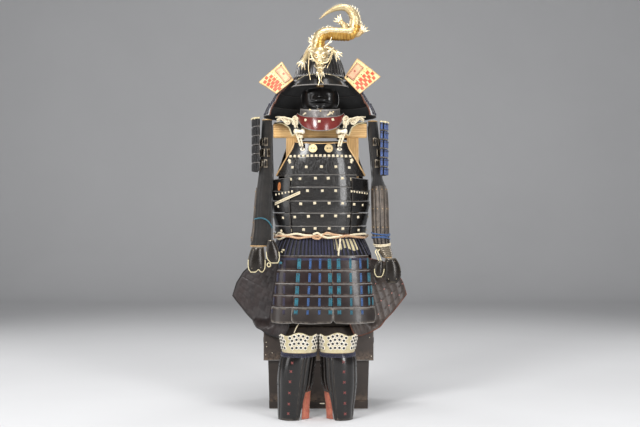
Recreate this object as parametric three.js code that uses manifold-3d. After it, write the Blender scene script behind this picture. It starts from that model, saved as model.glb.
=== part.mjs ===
// Samurai armour set out on its stand and storage chest.
// Millimetres, +Z up. The armour faces -Y. The floor is Z = 0, and the origin is under the middle of the set.
// Soft and plated pieces are thin walls: each is a grid of points on its outer face, worked out from rings in plan
// (half-width a, half-depth b, squareness n) at heights given in the tables below, and given its thickness inwards.

import * as THREE from 'three';
import { mergeVertices } from 'three/addons/utils/BufferGeometryUtils.js';
import Module from 'manifold-3d';

const wasm = await Module();
wasm.setup();

// ---------------------------------------------------------------- driving sizes

const FRAME = { x: 3, y: -94.2 };          // moves the whole set so that the origin is under its middle
const GAP = 0.3;                          // between pieces that touch

const CHEST = { x: -6, front: 66, depth: 324, halfTop: 229, halfBase: 205, bodyTopHalf: 215, height: 345,
  skirtZ: 204, wall: 10, board: 12, plinth: 32 };
const STAND = { y: 165, postW: 50, postD: 26, leftX: -119, rightX: 139, barHalf: 199, barD: 32, barZ0: 1137, barZ1: 1196,
  baseHalfX: 190, baseHalfY: 90, baseT: 20, poleR: 15, headR: 58, headZ0: 1420, headZ1: 1503 };
const HEAD = { x: 0, y: 158 };            // axis of helmet, mask and throat guard
const BOWL = { a: 108, deep: 1.1, z0: 1388, rise: 121, wall: 2.2 };
const BOWL_RINGS = [
  { h: 121, r: 0 }, { h: 118, r: 36 }, { h: 109, r: 60 }, { h: 92, r: 78 }, { h: 50, r: 97 }, { h: 0, r: 108 },
];
const TORSO = { x: 3, y: 165, n: 2.25, wall: 2 };
const SKIRT = { x: 6, y: 164, wall: 3 };
const CLOTH = 2.4;                        // sleeves and thigh guards, cloth with plates sewn on

// ---------------------------------------------------------------- small tools

const V = (x, y, z) => new THREE.Vector3(x, y, z);
const rad = THREE.MathUtils.degToRad;
const lerp = THREE.MathUtils.lerp;

// point on a squared ellipse, by true plan angle: 0 is the front (-Y), 90 is +X
function ring(cx, cy, a, b, n, deg) {
  const s = Math.sin(rad(deg)), c = Math.cos(rad(deg));
  const r = Math.pow(Math.pow(Math.abs(s) / a, n) + Math.pow(Math.abs(c) / b, n), -1 / n);
  return [cx + r * s, cy - r * c];
}

// value of a named column at height z, straight between rows
function at(table, z, column, key = 'z') {
  const rows = table;
  const down = rows[0][key] > rows[rows.length - 1][key];
  for (let i = 0; i + 1 < rows.length; i++) {
    const p = rows[i], q = rows[i + 1];
    const inside = down ? (z <= p[key] && z >= q[key]) : (z >= p[key] && z <= q[key]);
    if (inside) return lerp(p[column], q[column], (z - p[key]) / (q[key] - p[key] || 1));
  }
  const first = down ? z > rows[0][key] : z < rows[0][key];
  return (first ? rows[0] : rows[rows.length - 1])[column];
}

function asGeometry(points, faces) {
  const g = new THREE.BufferGeometry();
  g.setAttribute('position', new THREE.Float32BufferAttribute(points.flatMap((p) => [p.x, p.y, p.z]), 3));
  g.setIndex(faces);
  let volume = 0;
  for (let f = 0; f < faces.length; f += 3) {
    const [a, b, c] = [points[faces[f]], points[faces[f + 1]], points[faces[f + 2]]];
    volume += a.dot(b.clone().cross(c)) / 6;
  }
  if (volume < 0) {
    for (let f = 0; f < faces.length; f += 3) [faces[f], faces[f + 1]] = [faces[f + 1], faces[f]];
    g.setIndex(faces);
  }
  return g;
}

// closed wall behind a grid of outer points. rows run from top to bottom and each row runs with the plan angle.
// A loop row joins its last point to its first.
function wall(rows, thick, loop = false) {
  const nj = rows.length, ni = rows[0].length;
  const wrap = (i) => (loop ? (i + ni) % ni : Math.min(ni - 1, Math.max(0, i)));
  const pt = (j, i) => rows[Math.min(nj - 1, Math.max(0, j))][wrap(i)];
  const points = [], faces = [];
  for (let j = 0; j < nj; j++) for (let i = 0; i < ni; i++) points.push(rows[j][i].clone());
  for (let j = 0; j < nj; j++) for (let i = 0; i < ni; i++) {
    const across = pt(j, i + 1).clone().sub(pt(j, i - 1));
    const along = pt(j + 1, i).clone().sub(pt(j - 1, i));
    points.push(rows[j][i].clone().addScaledVector(across.cross(along).normalize(), thick));
  }
  const outer = (j, i) => j * ni + wrap(i), inner = (j, i) => nj * ni + j * ni + wrap(i);
  const quad = (a, b, c, d) => faces.push(a, b, c, a, c, d);
  const cols = loop ? ni : ni - 1;
  for (let j = 0; j + 1 < nj; j++) for (let i = 0; i < cols; i++) {
    quad(outer(j, i), outer(j + 1, i), outer(j + 1, i + 1), outer(j, i + 1));
    quad(inner(j, i), inner(j, i + 1), inner(j + 1, i + 1), inner(j + 1, i));
  }
  for (let i = 0; i < cols; i++) {
    quad(outer(0, i), outer(0, i + 1), inner(0, i + 1), inner(0, i));
    quad(outer(nj - 1, i), inner(nj - 1, i), inner(nj - 1, i + 1), outer(nj - 1, i + 1));
  }
  if (!loop) for (let j = 0; j + 1 < nj; j++) {
    quad(outer(j, 0), inner(j, 0), inner(j + 1, 0), outer(j + 1, 0));
    quad(outer(j, ni - 1), outer(j + 1, ni - 1), inner(j + 1, ni - 1), inner(j, ni - 1));
  }
  return asGeometry(points, faces);
}

// turned solid about a vertical axis; the profile is [radius, height] from the top of the axis to its foot
function turned(profile, sides) {
  const g = new THREE.LatheGeometry([...profile].reverse().map(([r, z]) => new THREE.Vector2(Math.max(0, r), z)), sides);
  return g.rotateX(Math.PI / 2);
}

// grid of points from a function of (u, v), u across and v down
const grid = (nu, vs, fn, loop = false) => vs.map((v) =>
  Array.from({ length: loop ? nu : nu + 1 }, (_, i) => fn(i / nu, v)));
const steps = (n) => Array.from({ length: n + 1 }, (_, i) => i / n);

// closed round limb through a table of stations {x, y, z, r}; its ends are points
function limb(stations, sides = 7, flat = 1) {
  const curve = new THREE.CatmullRomCurve3(stations.map((s) => V(s.x, s.y, s.z)));
  const n = stations.length;
  const points = [], faces = [];
  const up = V(0, -1, 0);
  for (let j = 0; j < n; j++) {
    const tangent = curve.getTangent(j / (n - 1)).normalize();
    const side = tangent.clone().cross(up).normalize();
    const front = side.clone().cross(tangent).normalize();
    for (let i = 0; i < sides; i++) {
      const q = (i / sides) * Math.PI * 2;
      points.push(V(stations[j].x, stations[j].y, stations[j].z)
        .addScaledVector(side, Math.cos(q) * stations[j].r).addScaledVector(front, Math.sin(q) * stations[j].r * flat));
    }
  }
  points.push(V(stations[0].x, stations[0].y, stations[0].z), V(stations[n - 1].x, stations[n - 1].y, stations[n - 1].z));
  const head = n * sides, tail = head + 1;
  for (let j = 0; j + 1 < n; j++) for (let i = 0; i < sides; i++) {
    const a = j * sides + i, b = j * sides + (i + 1) % sides, c = a + sides, d = b + sides;
    faces.push(a, b, d, a, d, c);
  }
  for (let i = 0; i < sides; i++) {
    faces.push(head, (i + 1) % sides, i);
    faces.push(tail, (n - 1) * sides + i, (n - 1) * sides + (i + 1) % sides);
  }
  return asGeometry(points, faces);
}

function toSolid(geometry) {
  let g = geometry.clone();
  g.deleteAttribute('normal');
  g.deleteAttribute('uv');
  g = mergeVertices(g, 1e-4);
  return new wasm.Manifold(new wasm.Mesh({ numProp: 3, vertProperties: new Float32Array(g.attributes.position.array),
    triVerts: new Uint32Array(g.index.array) }));
}

function fromSolid(solid) {
  const m = solid.getMesh();
  const g = new THREE.BufferGeometry();
  g.setAttribute('position', new THREE.BufferAttribute(new Float32Array(m.vertProperties), 3));
  g.setIndex(Array.from(m.triVerts));
  return g;
}

const join = (...parts) => fromSolid(parts.map(toSolid).reduce((a, b) => a.add(b)));

// plain round cord along a path
function cord(path, radius, nSteps, sides = 8, closed = false) {
  const outline = new THREE.Shape(Array.from({ length: sides }, (_, i) => new THREE.Vector2(
    Math.cos((i / sides) * Math.PI * 2) * radius, Math.sin((i / sides) * Math.PI * 2) * radius)));
  return new THREE.ExtrudeGeometry(outline, { steps: nSteps, bevelEnabled: false,
    extrudePath: new THREE.CatmullRomCurve3(path, closed) });
}

const box = (x0, x1, y0, y1, z0, z1) => new THREE.BoxGeometry(x1 - x0, y1 - y0, z1 - z0)
  .translate((x0 + x1) / 2, (y0 + y1) / 2, (z0 + z1) / 2);

const set = new THREE.Group();
function piece(name, geometry, colour, roughness = 0.6, metalness = 0) {
  const mesh = new THREE.Mesh(geometry, new THREE.MeshStandardMaterial({ color: colour, roughness, metalness }));
  mesh.name = name;
  set.add(mesh);
}

const LACQUER = 0x221f1e, LEATHER = 0x33292a, CLOTH_DARK = 0x2b2a29, BROWN = 0x362b27, PINE = 0xc79a5f, GOLD = 0xd8a545,
  MAROON = 0x7a2f29, CREAM = 0xd5c7a2, NAVY = 0x23264a, TERRACOTTA = 0xa75c48, STEEL = 0x5d5c5c, BRONZE = 0x5e574e;

// ---------------------------------------------------------------- storage chest and stand

// four leaning sides in one loop, hollow from the top, with a bottom board
function tray(halfBottom, halfTop, halfDepthBottom, halfDepthTop, z0, z1, board, bottomT) {
  const cy = CHEST.front + CHEST.depth / 2;
  const corner = (hx, hy, z) => [[-hx, -hy], [hx, -hy], [hx, hy], [-hx, hy]].map(([x, y]) => V(CHEST.x + x, cy + y, z));
  const slope = (v) => lerp(halfBottom, halfTop, v), slopeY = (v) => lerp(halfDepthBottom, halfDepthTop, v);
  const zi = (z0 + bottomT - z0) / (z1 - z0);
  const rings = [corner(slope(0), slopeY(0), z0), corner(slope(1), slopeY(1), z1),
    corner(slope(1) - board, slopeY(1) - board, z1), corner(slope(zi) - board, slopeY(zi) - board, z0 + bottomT)];
  const points = rings.flat(), faces = [];
  for (let j = 0; j < 3; j++) for (let i = 0; i < 4; i++) {
    const a = j * 4 + i, b = j * 4 + (i + 1) % 4;
    faces.push(a, b, b + 4, a, b + 4, a + 4);
  }
  faces.push(0, 2, 1, 0, 3, 2, 12, 13, 14, 12, 14, 15);
  return asGeometry(points, faces);
}

const halfDepth = CHEST.depth / 2;
piece('chest_body', tray(CHEST.halfBase, CHEST.bodyTopHalf, halfDepth - 22, halfDepth - 12, 0, CHEST.height - 13,
  CHEST.board, CHEST.board), BROWN, 0.45);
{
  const cy = CHEST.front + halfDepth;
  const outer = box(CHEST.x - CHEST.halfTop, CHEST.x + CHEST.halfTop, cy - halfDepth, cy + halfDepth, CHEST.skirtZ, CHEST.height);
  const inner = box(CHEST.x - CHEST.halfTop + CHEST.wall, CHEST.x + CHEST.halfTop - CHEST.wall,
    cy - halfDepth + CHEST.wall, cy + halfDepth - CHEST.wall, CHEST.skirtZ - 5, CHEST.height - 13 + GAP);
  piece('chest_lid', fromSolid(toSolid(outer).subtract(toSolid(inner))), BROWN, 0.4);
}

const deckZ = CHEST.height + GAP;
piece('stand_base', box(STAND.leftX - 60, STAND.rightX + 60, STAND.y - STAND.baseHalfY, STAND.y + STAND.baseHalfY,
  deckZ, deckZ + STAND.baseT), PINE, 0.6);
for (const [name, x] of [['stand_post_left', STAND.leftX], ['stand_post_right', STAND.rightX]]) {
  piece(name, box(x - STAND.postW / 2, x + STAND.postW / 2, STAND.y - STAND.postD / 2, STAND.y + STAND.postD / 2,
    deckZ + STAND.baseT + GAP, STAND.barZ0 - GAP), PINE, 0.6);
}
piece('stand_crossbar', box(-STAND.barHalf, STAND.barHalf, STAND.y - STAND.barD / 2, STAND.y + STAND.barD / 2,
  STAND.barZ0, STAND.barZ1), PINE, 0.6);
{
  // pole with a round head block that the helmet sits on
  const z0 = STAND.barZ1 + GAP, dome = STAND.headZ1 - STAND.headZ0;
  const profile = [[0, STAND.headZ1],
    ...[0.78, 0.55, 0.3, 0].map((q) => [STAND.headR * Math.cos(q * Math.PI / 2), STAND.headZ0 + dome * Math.sin(q * Math.PI / 2)]),
    [STAND.headR * 0.7, STAND.headZ0 - 8], [STAND.poleR, STAND.headZ0 - 14], [STAND.poleR, z0], [0, z0]];
  const g = turned(profile, 12);
  g.translate(HEAD.x, HEAD.y, 0);
  piece('stand_head_pole', g, PINE, 0.6);
}

// ---------------------------------------------------------------- helmet

{
  // steep sides and a flattened crown, from the crown down to the rim and back up inside
  const outer = BOWL_RINGS.map((row) => [row.r, row.h]);
  const inner = BOWL_RINGS.map((row) => [row.r - BOWL.wall, row.h - (row.h ? BOWL.wall : 0)]).reverse();
  const g = turned([...outer, ...inner], 20);
  g.scale(1, BOWL.deep, 1);
  g.translate(HEAD.x, HEAD.y, BOWL.z0);
  piece('helmet_bowl', g, LACQUER, 0.4, 0.3);
}

// visor: leaves the front of the bowl and slopes down and forward
const VISOR = [
  { v: 0, out: 3, z: 1396, droop: 54 },
  { v: 0.5, out: 26, z: 1373, droop: 26 },
  { v: 1, out: 46, z: 1345, droop: 0 },
];
piece('helmet_visor', wall(grid(12, [0, 0.5, 1], (u, v) => {
  const s = 2 * u - 1, row = VISOR.find((r) => r.v === v);
  const out = row.out * (1 - 0.6 * s * s) + 3;
  const [x, y] = ring(HEAD.x, HEAD.y, BOWL.a + out, BOWL.a * BOWL.deep + out, 2, 65 * s);
  return V(x, y, row.z - row.droop * s * s * 0.6);
}), 2.2), LACQUER, 0.4, 0.2);

// neck guard: three flared lames from one front edge round the back to the other
const NECK = [
  { name: 'neck_guard_lame_1', z0: 1383, z1: 1327, a0: 115, a1: 172, b0: 126, b1: 178, edge: 66 },
  { name: 'neck_guard_lame_2', z0: 1333, z1: 1275, a0: 176, a1: 209, b0: 182, b1: 210, edge: 64 },
  { name: 'neck_guard_lame_3', z0: 1281, z1: 1225, a0: 213, a1: 238, b0: 214, b1: 234, edge: 62 },
];
for (const row of NECK) {
  piece(row.name, wall(grid(18, [0, 0.5, 1], (u, v) => {
    const bow = 4 * Math.sin(v * Math.PI);
    const [x, y] = ring(HEAD.x, HEAD.y, lerp(row.a0, row.a1, v) + bow, lerp(row.b0, row.b1, v) + bow, 2,
      row.edge + u * (360 - 2 * row.edge));
    return V(x, y, lerp(row.z0, row.z1, v));
  }), 2.2), LACQUER, 0.45, 0.1);
}

// turned-back ear plates, four corners each: inner low, inner high, outer high, outer low
const EARS = {
  left: { inLow: [-112, 64, 1372], inHigh: [-160, 92, 1450], outHigh: [-256, 108, 1368], outLow: [-181, 66, 1316] },
  right: { inLow: [166, 66, 1316], inHigh: [102, 64, 1380], outHigh: [156, 92, 1464], outLow: [253, 108, 1390] },
};
{
  const flap = (c) => wall(grid(4, steps(3), (u, v) => {
    const top = V(...c[0]).lerp(V(...c[1]), u), low = V(...c[3]).lerp(V(...c[2]), u);
    const p = top.lerp(low, v);
    p.y -= 9 * Math.sin(u * Math.PI) * 0.6 + 6 * Math.sin(v * Math.PI) * 0.5;
    return p;
  }), 3);
  const L = EARS.left, R = EARS.right;
  piece('helmet_turnback_left', flap([L.inHigh, L.inLow, L.outLow, L.outHigh]), 0xcf8a55, 0.5);
  piece('helmet_turnback_right', flap([R.inLow, R.outLow, R.outHigh, R.inHigh].map((p) => p)), 0xcf8a55, 0.5);
}

// crest: a dragon that climbs the front of the bowl, its tail curled over the top
const DRAGON_BODY = [
  { x: -4, y: 2, z: 1448, r: 16 }, { x: -8, y: -2, z: 1478, r: 27 }, { x: -8, y: 0, z: 1508, r: 28 },
  { x: -4, y: 8, z: 1536, r: 27 }, { x: 18, y: 16, z: 1555, r: 26 }, { x: 50, y: 22, z: 1557, r: 27 },
  { x: 84, y: 28, z: 1556, r: 27 }, { x: 116, y: 34, z: 1557, r: 27 }, { x: 138, y: 38, z: 1571, r: 25 },
  { x: 145, y: 40, z: 1598, r: 24 }, { x: 144, y: 40, z: 1626, r: 22 }, { x: 129, y: 40, z: 1652, r: 18 },
  { x: 103, y: 40, z: 1668, r: 14 }, { x: 68, y: 40, z: 1665, r: 11 }, { x: 32, y: 38, z: 1648, r: 7 },
  { x: -1, y: 36, z: 1621, r: 1.6 },
];
const DRAGON_LIMBS = [
  [{ x: -20, y: 4, z: 1500, r: 11 }, { x: -44, y: 12, z: 1486, r: 13 }, { x: -58, y: 24, z: 1462, r: 11 }, { x: -70, y: 30, z: 1442, r: 15 }, { x: -80, y: 30, z: 1420, r: 12 }],
  [{ x: 8, y: 2, z: 1500, r: 11 }, { x: 34, y: 10, z: 1495, r: 12 }, { x: 56, y: 16, z: 1482, r: 14 }, { x: 76, y: 20, z: 1466, r: 11 }],
  [{ x: 108, y: 30, z: 1562, r: 13 }, { x: 102, y: 34, z: 1590, r: 12 }, { x: 86, y: 34, z: 1608, r: 14 }, { x: 68, y: 34, z: 1616, r: 12 }],
  [{ x: 132, y: 36, z: 1560, r: 13 }, { x: 156, y: 34, z: 1556, r: 12 }, { x: 172, y: 32, z: 1568, r: 14 }, { x: 184, y: 30, z: 1586, r: 10 }],
];
{
  const body = limb(DRAGON_BODY, 9);
  const skull = new THREE.SphereGeometry(1, 10, 7).scale(37, 28, 34).translate(1, -14, 1464);
  const snout = new THREE.SphereGeometry(1, 10, 6).scale(24, 24, 36).translate(0, -30, 1420);
  const spike = (x, y, z, dx, dz, r, h) => new THREE.ConeGeometry(r, h, 6).rotateX(Math.PI / 2)
    .rotateY(Math.atan2(dx, dz)).translate(x, y, z);
  piece('dragon_crest', join(body, skull, snout, spike(-34, -6, 1494, -0.6, 1, 9, 44), spike(36, -6, 1494, 0.6, 1, 9, 44),
    ...DRAGON_LIMBS.map((rows) => limb(rows, 6))), GOLD, 0.3, 0.9);
}

// ---------------------------------------------------------------- mask and throat guard

const FACE = [
  { z: 1338, a: 70, b: 84, nose: 12 },
  { z: 1318, a: 76, b: 90, nose: 20 },
  { z: 1298, a: 79, b: 92, nose: 24 },
  { z: 1276, a: 76, b: 92, nose: 6 },
  { z: 1252, a: 62, b: 86, nose: 8 },
];
piece('face_mask', wall(FACE.map((row) => steps(14).map((u) => {
  const s = 2 * u - 1;
  const nose = row.nose * Math.exp(-((s / 0.12) ** 2));
  const [x, y] = ring(HEAD.x, HEAD.y - 20, row.a, row.b + nose, 2.2, 84 * s);
  return V(x, y, row.z - (row.z > 1330 ? 14 * s * s : 0) + (row.z < 1260 ? 18 * s * s : 0));
})), 2), LACQUER, 0.35, 0.1);

piece('throat_guard_upper', wall(grid(10, [0, 1], (u, v) => {
  const s = 2 * u - 1;
  const [x, y] = ring(HEAD.x, HEAD.y - 20, 92 + 5 * v, 112 + 6 * v, 2, 58 * s);
  return V(x, y, lerp(1244, 1205, v) + 10 * s * s);
}), 2), STEEL, 0.5, 0.4);
piece('throat_guard_lower', wall(grid(12, [0, 0.5, 1], (u, v) => {
  const s = 2 * u - 1, w = Math.abs(s);
  const [x, y] = ring(HEAD.x + 2, HEAD.y - 20, 104 + 4 * v, 124 + 12 * v * (1 - s * s), 2, 66 * s);
  return V(x, y, lerp(1212 + 24 * w * w, 1156 + 74 * Math.pow(w, 2.2), v));
}), 2.2), MAROON, 0.3);

// ---------------------------------------------------------------- cuirass

const TORSO_RING = [
  { z: 1130, a: 146, b: 100 }, { z: 1114, a: 150, b: 104 }, { z: 1044, a: 176, b: 118 }, { z: 968, a: 192, b: 128 },
  { z: 927, a: 197, b: 131 }, { z: 870, a: 199, b: 132 }, { z: 820, a: 195, b: 130 }, { z: 765, a: 187, b: 127 }, { z: 715, a: 181, b: 123 },
];
const ARMHOLE = [ // plan angle where the front ends, by height
  { z: 1120, front: 54, back: 128 }, { z: 1090, front: 55, back: 126 }, { z: 1050, front: 61, back: 120 }, { z: 1005, front: 69, back: 112 },
  { z: 975, front: 78, back: 104 },
];
const FACET = 9.8;                        // plan angle of one facet of the front
const FRONT_EDGE = 6 * FACET, SIDE_START = 5 * FACET;   // the side plates lie outside the last facet of the front
const FRONT_FACETS = Array.from({ length: 13 }, (_, i) => (i - 6) * FACET);
const SIDE_FACETS = [SIDE_START, FRONT_EDGE, 70, 82, 94, 106, 118];
const torsoPoint = (deg, z, out) => {
  const [x, y] = ring(TORSO.x, TORSO.y, at(TORSO_RING, z, 'a') + out, at(TORSO_RING, z, 'b') + out, TORSO.n, deg);
  return V(x, y, z);
};
const STEP_OUT = 2.9, LAP = 7;            // a lower lame's top lies outside the lame above

// plan angles of one row: the fixed facets inside the edge, then the edge itself
const facetsTo = (edge) => [-edge, ...FRONT_FACETS.filter((q) => Math.abs(q) < FRONT_EDGE - FACET / 2), edge];
piece('cuirass_chest_plate', wall(steps(3).map((v) => {
  const edge = at(ARMHOLE, lerp(1114, 1056 - LAP, v), 'front');
  return facetsTo(edge).map((deg) => {
    const z = lerp(1114 - 7 * (1 - (deg / edge) ** 2), 1056 - LAP, v);
    return torsoPoint(deg, z, STEP_OUT * (1 - v) * 0.6 - 0.4);
  });
}), TORSO.wall), LACQUER, 0.35, 0.1);

const FRONT_LAMES = [
  { z0: 1056, z1: 979 }, { z0: 979, z1: 928 }, { z0: 928, z1: 870 }, { z0: 870, z1: 820 }, { z0: 820, z1: 765 }, { z0: 765, z1: 723 },
];
FRONT_LAMES.forEach((row, k) => {
  const last = k === FRONT_LAMES.length - 1;
  piece('cuirass_front_lame_' + (k + 1), wall((k === 0 ? steps(3) : steps(2)).map((v) => {
    const z = lerp(row.z0, row.z1 - (last ? 0 : LAP), v);
    const angles = k === 0 ? [-at(ARMHOLE, z, 'front'), ...FRONT_FACETS.filter((q) => Math.abs(q) < 55), at(ARMHOLE, z, 'front')] : FRONT_FACETS;
    return angles.map((deg) => torsoPoint(deg, z, STEP_OUT * (1 - v) + 0.5 * Math.sin(v * Math.PI)));
  }), TORSO.wall), LEATHER, 0.35, 0.05);
});

// side plates under the arms, each a column of lames between front and back
const SIDE_Z = [968, 912, 870, 820, 765, 723];
const SIDE_OUT = STEP_OUT + 0.5 + TORSO.wall + 0.6;
function column(name, angles, zs, top, colour) {
  const rows = [];
  for (let k = 0; k + 1 < zs.length; k++) {
    const last = k + 2 === zs.length;
    for (const [z, out] of [[zs[k] - (k ? 1.5 : 0), SIDE_OUT + 2.4], [zs[k + 1] + (last ? 0 : 1.5), SIDE_OUT]]) {
      rows.push(angles.map((deg, i) => {
        const scoop = k === 0 && z === zs[0] ? top * (1 - (2 * i / (angles.length - 1) - 1) ** 2) : 0;
        return torsoPoint(deg, z - scoop, out);
      }));
    }
  }
  piece(name, wall(rows, TORSO.wall), colour, 0.35, 0.05);
}
column('cuirass_side_right', SIDE_FACETS, SIDE_Z, 8, LACQUER);
column('cuirass_side_left', SIDE_FACETS.map((q) => -q).reverse(), SIDE_Z, 8, LACQUER);
{
  const backTop = grid(10, steps(3), (u, v) => {
    const z = lerp(1128, 1056, v);
    return torsoPoint(lerp(at(ARMHOLE, z, 'back'), 360 - at(ARMHOLE, z, 'back'), u), z, 1);
  });
  piece('cuirass_back_top', wall(backTop, TORSO.wall), LACQUER, 0.35, 0.1);
  const zs = [1052, 979, 928, 870, 820, 765, 723], rows = [];
  for (let k = 0; k + 1 < zs.length; k++) {
    const last = k + 2 === zs.length;
    for (const [z, out] of [[zs[k] - (k ? 1.5 : 0), STEP_OUT - 1.4], [zs[k + 1] + (last ? 0 : 1.5), -1.4]]) {
      const edge = z > 970 ? Math.min(117, at(ARMHOLE, z, 'back')) : 106;
      rows.push([edge, ...steps(8).map((u) => lerp(118, 242, u)), 360 - edge].map((deg) => torsoPoint(deg, z, out)));
    }
  }
  piece('cuirass_back_lames', wall(rows, TORSO.wall), LACQUER, 0.35, 0.1);
}

// shoulder straps with the sleeve yoke, over the crossbar from back to front: one row per station along the strap
const STRAP = [
  { y: 262, z: 1138, in: 72, out: 128 }, { y: 232, z: 1184, in: 70, out: 160 }, { y: 196, z: 1207, in: 70, out: 192 },
  { y: 158, z: 1209, in: 70, out: 196 }, { y: 126, z: 1204, in: 74, out: 176 }, { y: 104, z: 1180, in: 78, out: 132 },
  { y: 92, z: 1152, in: 80, out: 118 },
];
for (const [name, sign] of [['shoulder_strap_left', -1], ['shoulder_strap_right', 1]]) {
  piece(name, wall(STRAP.map((row) => steps(3).map((u) => {
    const x = sign < 0 ? lerp(-row.out, -row.in, u) : lerp(row.in, row.out, u);
    const away = (Math.abs(x) - row.in) / (row.out - row.in);
    return V(x + 2, row.y, row.z - 4 * away * away);
  })), 3), CLOTH_DARK, 0.85);
}

// ---------------------------------------------------------------- waist: lacing and tie

const SKIRT_RING = [
  { z: 716, a: 181, b: 121, n: 2.25 }, { z: 641, a: 211, b: 133, n: 2.9 }, { z: 366, a: 243, b: 172, n: 3.4 },
];
const skirtPoint = (deg, z, out) => {
  const [x, y] = ring(lerp(TORSO.x, SKIRT.x, Math.min(1, (716 - z) / 75)), SKIRT.y, at(SKIRT_RING, z, 'a') + out,
    at(SKIRT_RING, z, 'b') + out, at(SKIRT_RING, z, 'n'), deg);
  return V(x, y, z);
};
piece('tasset_lacing', wall(grid(24, [0, 0.5, 1], (u, v) => skirtPoint(u * 360 - 180, lerp(718, 644, v), 0), true), 2), NAVY, 0.9);

const WAIST_CORD = { z: 723, r: 7, out: 15 };
piece('waist_cord', (() => {
  const n = 32, sides = 8, points = [], faces = [];
  for (let i = 0; i < n; i++) {
    const deg = (i / n) * 360;
    const p = torsoPoint(deg, WAIST_CORD.z, WAIST_CORD.out), q = torsoPoint(deg, WAIST_CORD.z, WAIST_CORD.out + 1);
    const outward = q.sub(p).normalize();
    for (let k = 0; k < sides; k++) {
      const w = (k / sides) * Math.PI * 2;
      points.push(p.clone().addScaledVector(outward, Math.cos(w) * WAIST_CORD.r).add(V(0, 0, Math.sin(w) * WAIST_CORD.r)));
    }
  }
  for (let i = 0; i < n; i++) for (let k = 0; k < sides; k++) {
    const a = i * sides + k, b = i * sides + (k + 1) % sides, c = ((i + 1) % n) * sides + k, d = ((i + 1) % n) * sides + (k + 1) % sides;
    faces.push(a, b, d, a, d, c);
  }
  return asGeometry(points, faces);
})(), CREAM, 0.9);
piece('waist_cord_end', cord([V(84, 26, 712), V(82, 22, 690), V(78, 21, 665), V(76, 22, 642)], 4, 8), CREAM, 0.9);

// ---------------------------------------------------------------- tassets

// plan angles of the slits between the seven panels, by the bottom edge and by the top edge
const PANELS = [ // 1 and 2 in front, 7 tucked behind 1; 3 to 6 behind the thigh guards and round the back
  { low: [-37.4, 15.6], high: [-36, 15.6], in: 0 }, { low: [15.6, 64], high: [15.6, 67], in: 0 },
  { low: [100, 140], high: [100, 140], in: 0 }, { low: [140, 180], high: [140, 180], in: 0 },
  { low: [180, 220], high: [180, 220], in: 0 }, { low: [220, 260], high: [220, 260], in: 0 },
  { low: [-62, -30], high: [-62, -30], in: 9 },
];
const SLIT_HALF = 0.55;
const TASSET_Z = [641, 581, 527, 478, 430, 366];
for (let p = 0; p < 7; p++) {
  const rows = [];
  for (let k = 0; k < 5; k++) {
    for (const [z, out] of [[TASSET_Z[k] - (k ? 1.5 : 0), 4], [TASSET_Z[k + 1] + (k < 4 ? 1.5 : 0), 0]]) {
      const v = (641 - z) / (641 - 366);
      const panel = PANELS[p];
      const from = lerp(panel.high[0], panel.low[0], v) + SLIT_HALF, to = lerp(panel.high[1], panel.low[1], v) - SLIT_HALF;
      rows.push(steps(6).map((u) => {
        const s = 2 * u - 1;
        const corner = k === 4 && z === 366 ? 9 * Math.max(0, Math.abs(s) - 0.6) / 0.4 : 0;
        return skirtPoint(lerp(from, to, u), z + corner, out + 4 * (1 - s * s) * v - panel.in);
      }));
    }
  }
  piece('tasset_' + (p + 1), wall(rows, SKIRT.wall), BROWN, 0.5);
}

// ---------------------------------------------------------------- thigh guards

// one row per station from waist to hem: inner edge, control point of the curve across, outer edge, as (x, z) from the front
const THIGH = [
  { ix: 6, iz: 666, mx: 110, mz: 666, ox: 160, oz: 666 },
  { ix: 14, iz: 638, mx: 130, mz: 637, ox: 182, oz: 635 },
  { ix: 34, iz: 590, mx: 166, mz: 592, ox: 282, oz: 606 },
  { ix: 64, iz: 510, mx: 196, mz: 506, ox: 326, oz: 568 },
  { ix: 102, iz: 410, mx: 220, mz: 404, ox: 356, oz: 520 },
  { ix: 150, iz: 304, mx: 240, mz: 290, ox: 373, oz: 466 },
];
const THIGH_IN = { left: 21, right: 22 }, THIGH_SPLAY = 0.42;
const LAST_COVER = { left: { high: 174, low: 215 }, right: { high: 199, low: 232 } };  // where the front tassets end
// depth of the thigh guard at (x, z): just behind the tassets, then splayed back past their outer edge
function thighDepth(x, z, side) {
  const a = at(SKIRT_RING, z, 'a') - THIGH_IN[side], b = at(SKIRT_RING, z, 'b') - THIGH_IN[side], n = at(SKIRT_RING, z, 'n');
  const cover = lerp(LAST_COVER[side].high, LAST_COVER[side].low, THREE.MathUtils.clamp((641 - z) / 275, 0, 1));
  const depth = (q) => SKIRT.y - b * Math.pow(Math.max(0.02, 1 - Math.pow(Math.min(0.995, Math.abs(q - SKIRT.x) / a), n)), 1 / n);
  const limit = Math.min(cover, 0.96 * a);
  const beyond = Math.max(0, Math.abs(x) - limit);
  const y = depth(Math.sign(x) * Math.min(Math.abs(x), limit)) + THIGH_SPLAY * beyond;
  const overLid = THREE.MathUtils.smoothstep(z, 345, 372);       // below the lid's top the cloth lies in front of the chest
  return lerp(Math.min(y, CHEST.front - 20 + Math.max(0, Math.abs(x) - 236) * 0.5), y, overLid);
}
for (const [name, side, sign, shiftX, shiftZ] of [['thigh_guard_left', 'left', -1, 0, 0], ['thigh_guard_right', 'right', 1, -6, 8]]) {
  piece(name, wall(THIGH.map((row, j) => steps(10).map((q) => {
    const u = sign < 0 ? 1 - q : q, w = 1 - u;
    const mix = (a, m, b) => w * w * a + 2 * u * w * m + u * u * b;
    const f = Math.max(0, j - 1) / (THIGH.length - 2);
    const x = sign * mix(row.ix, row.mx, row.ox) + shiftX * f, z = mix(row.iz, row.mz, row.oz) + shiftZ * f;
    return V(x, thighDepth(x, z, side), z);
  })), CLOTH), LEATHER, 0.6);
}
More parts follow.
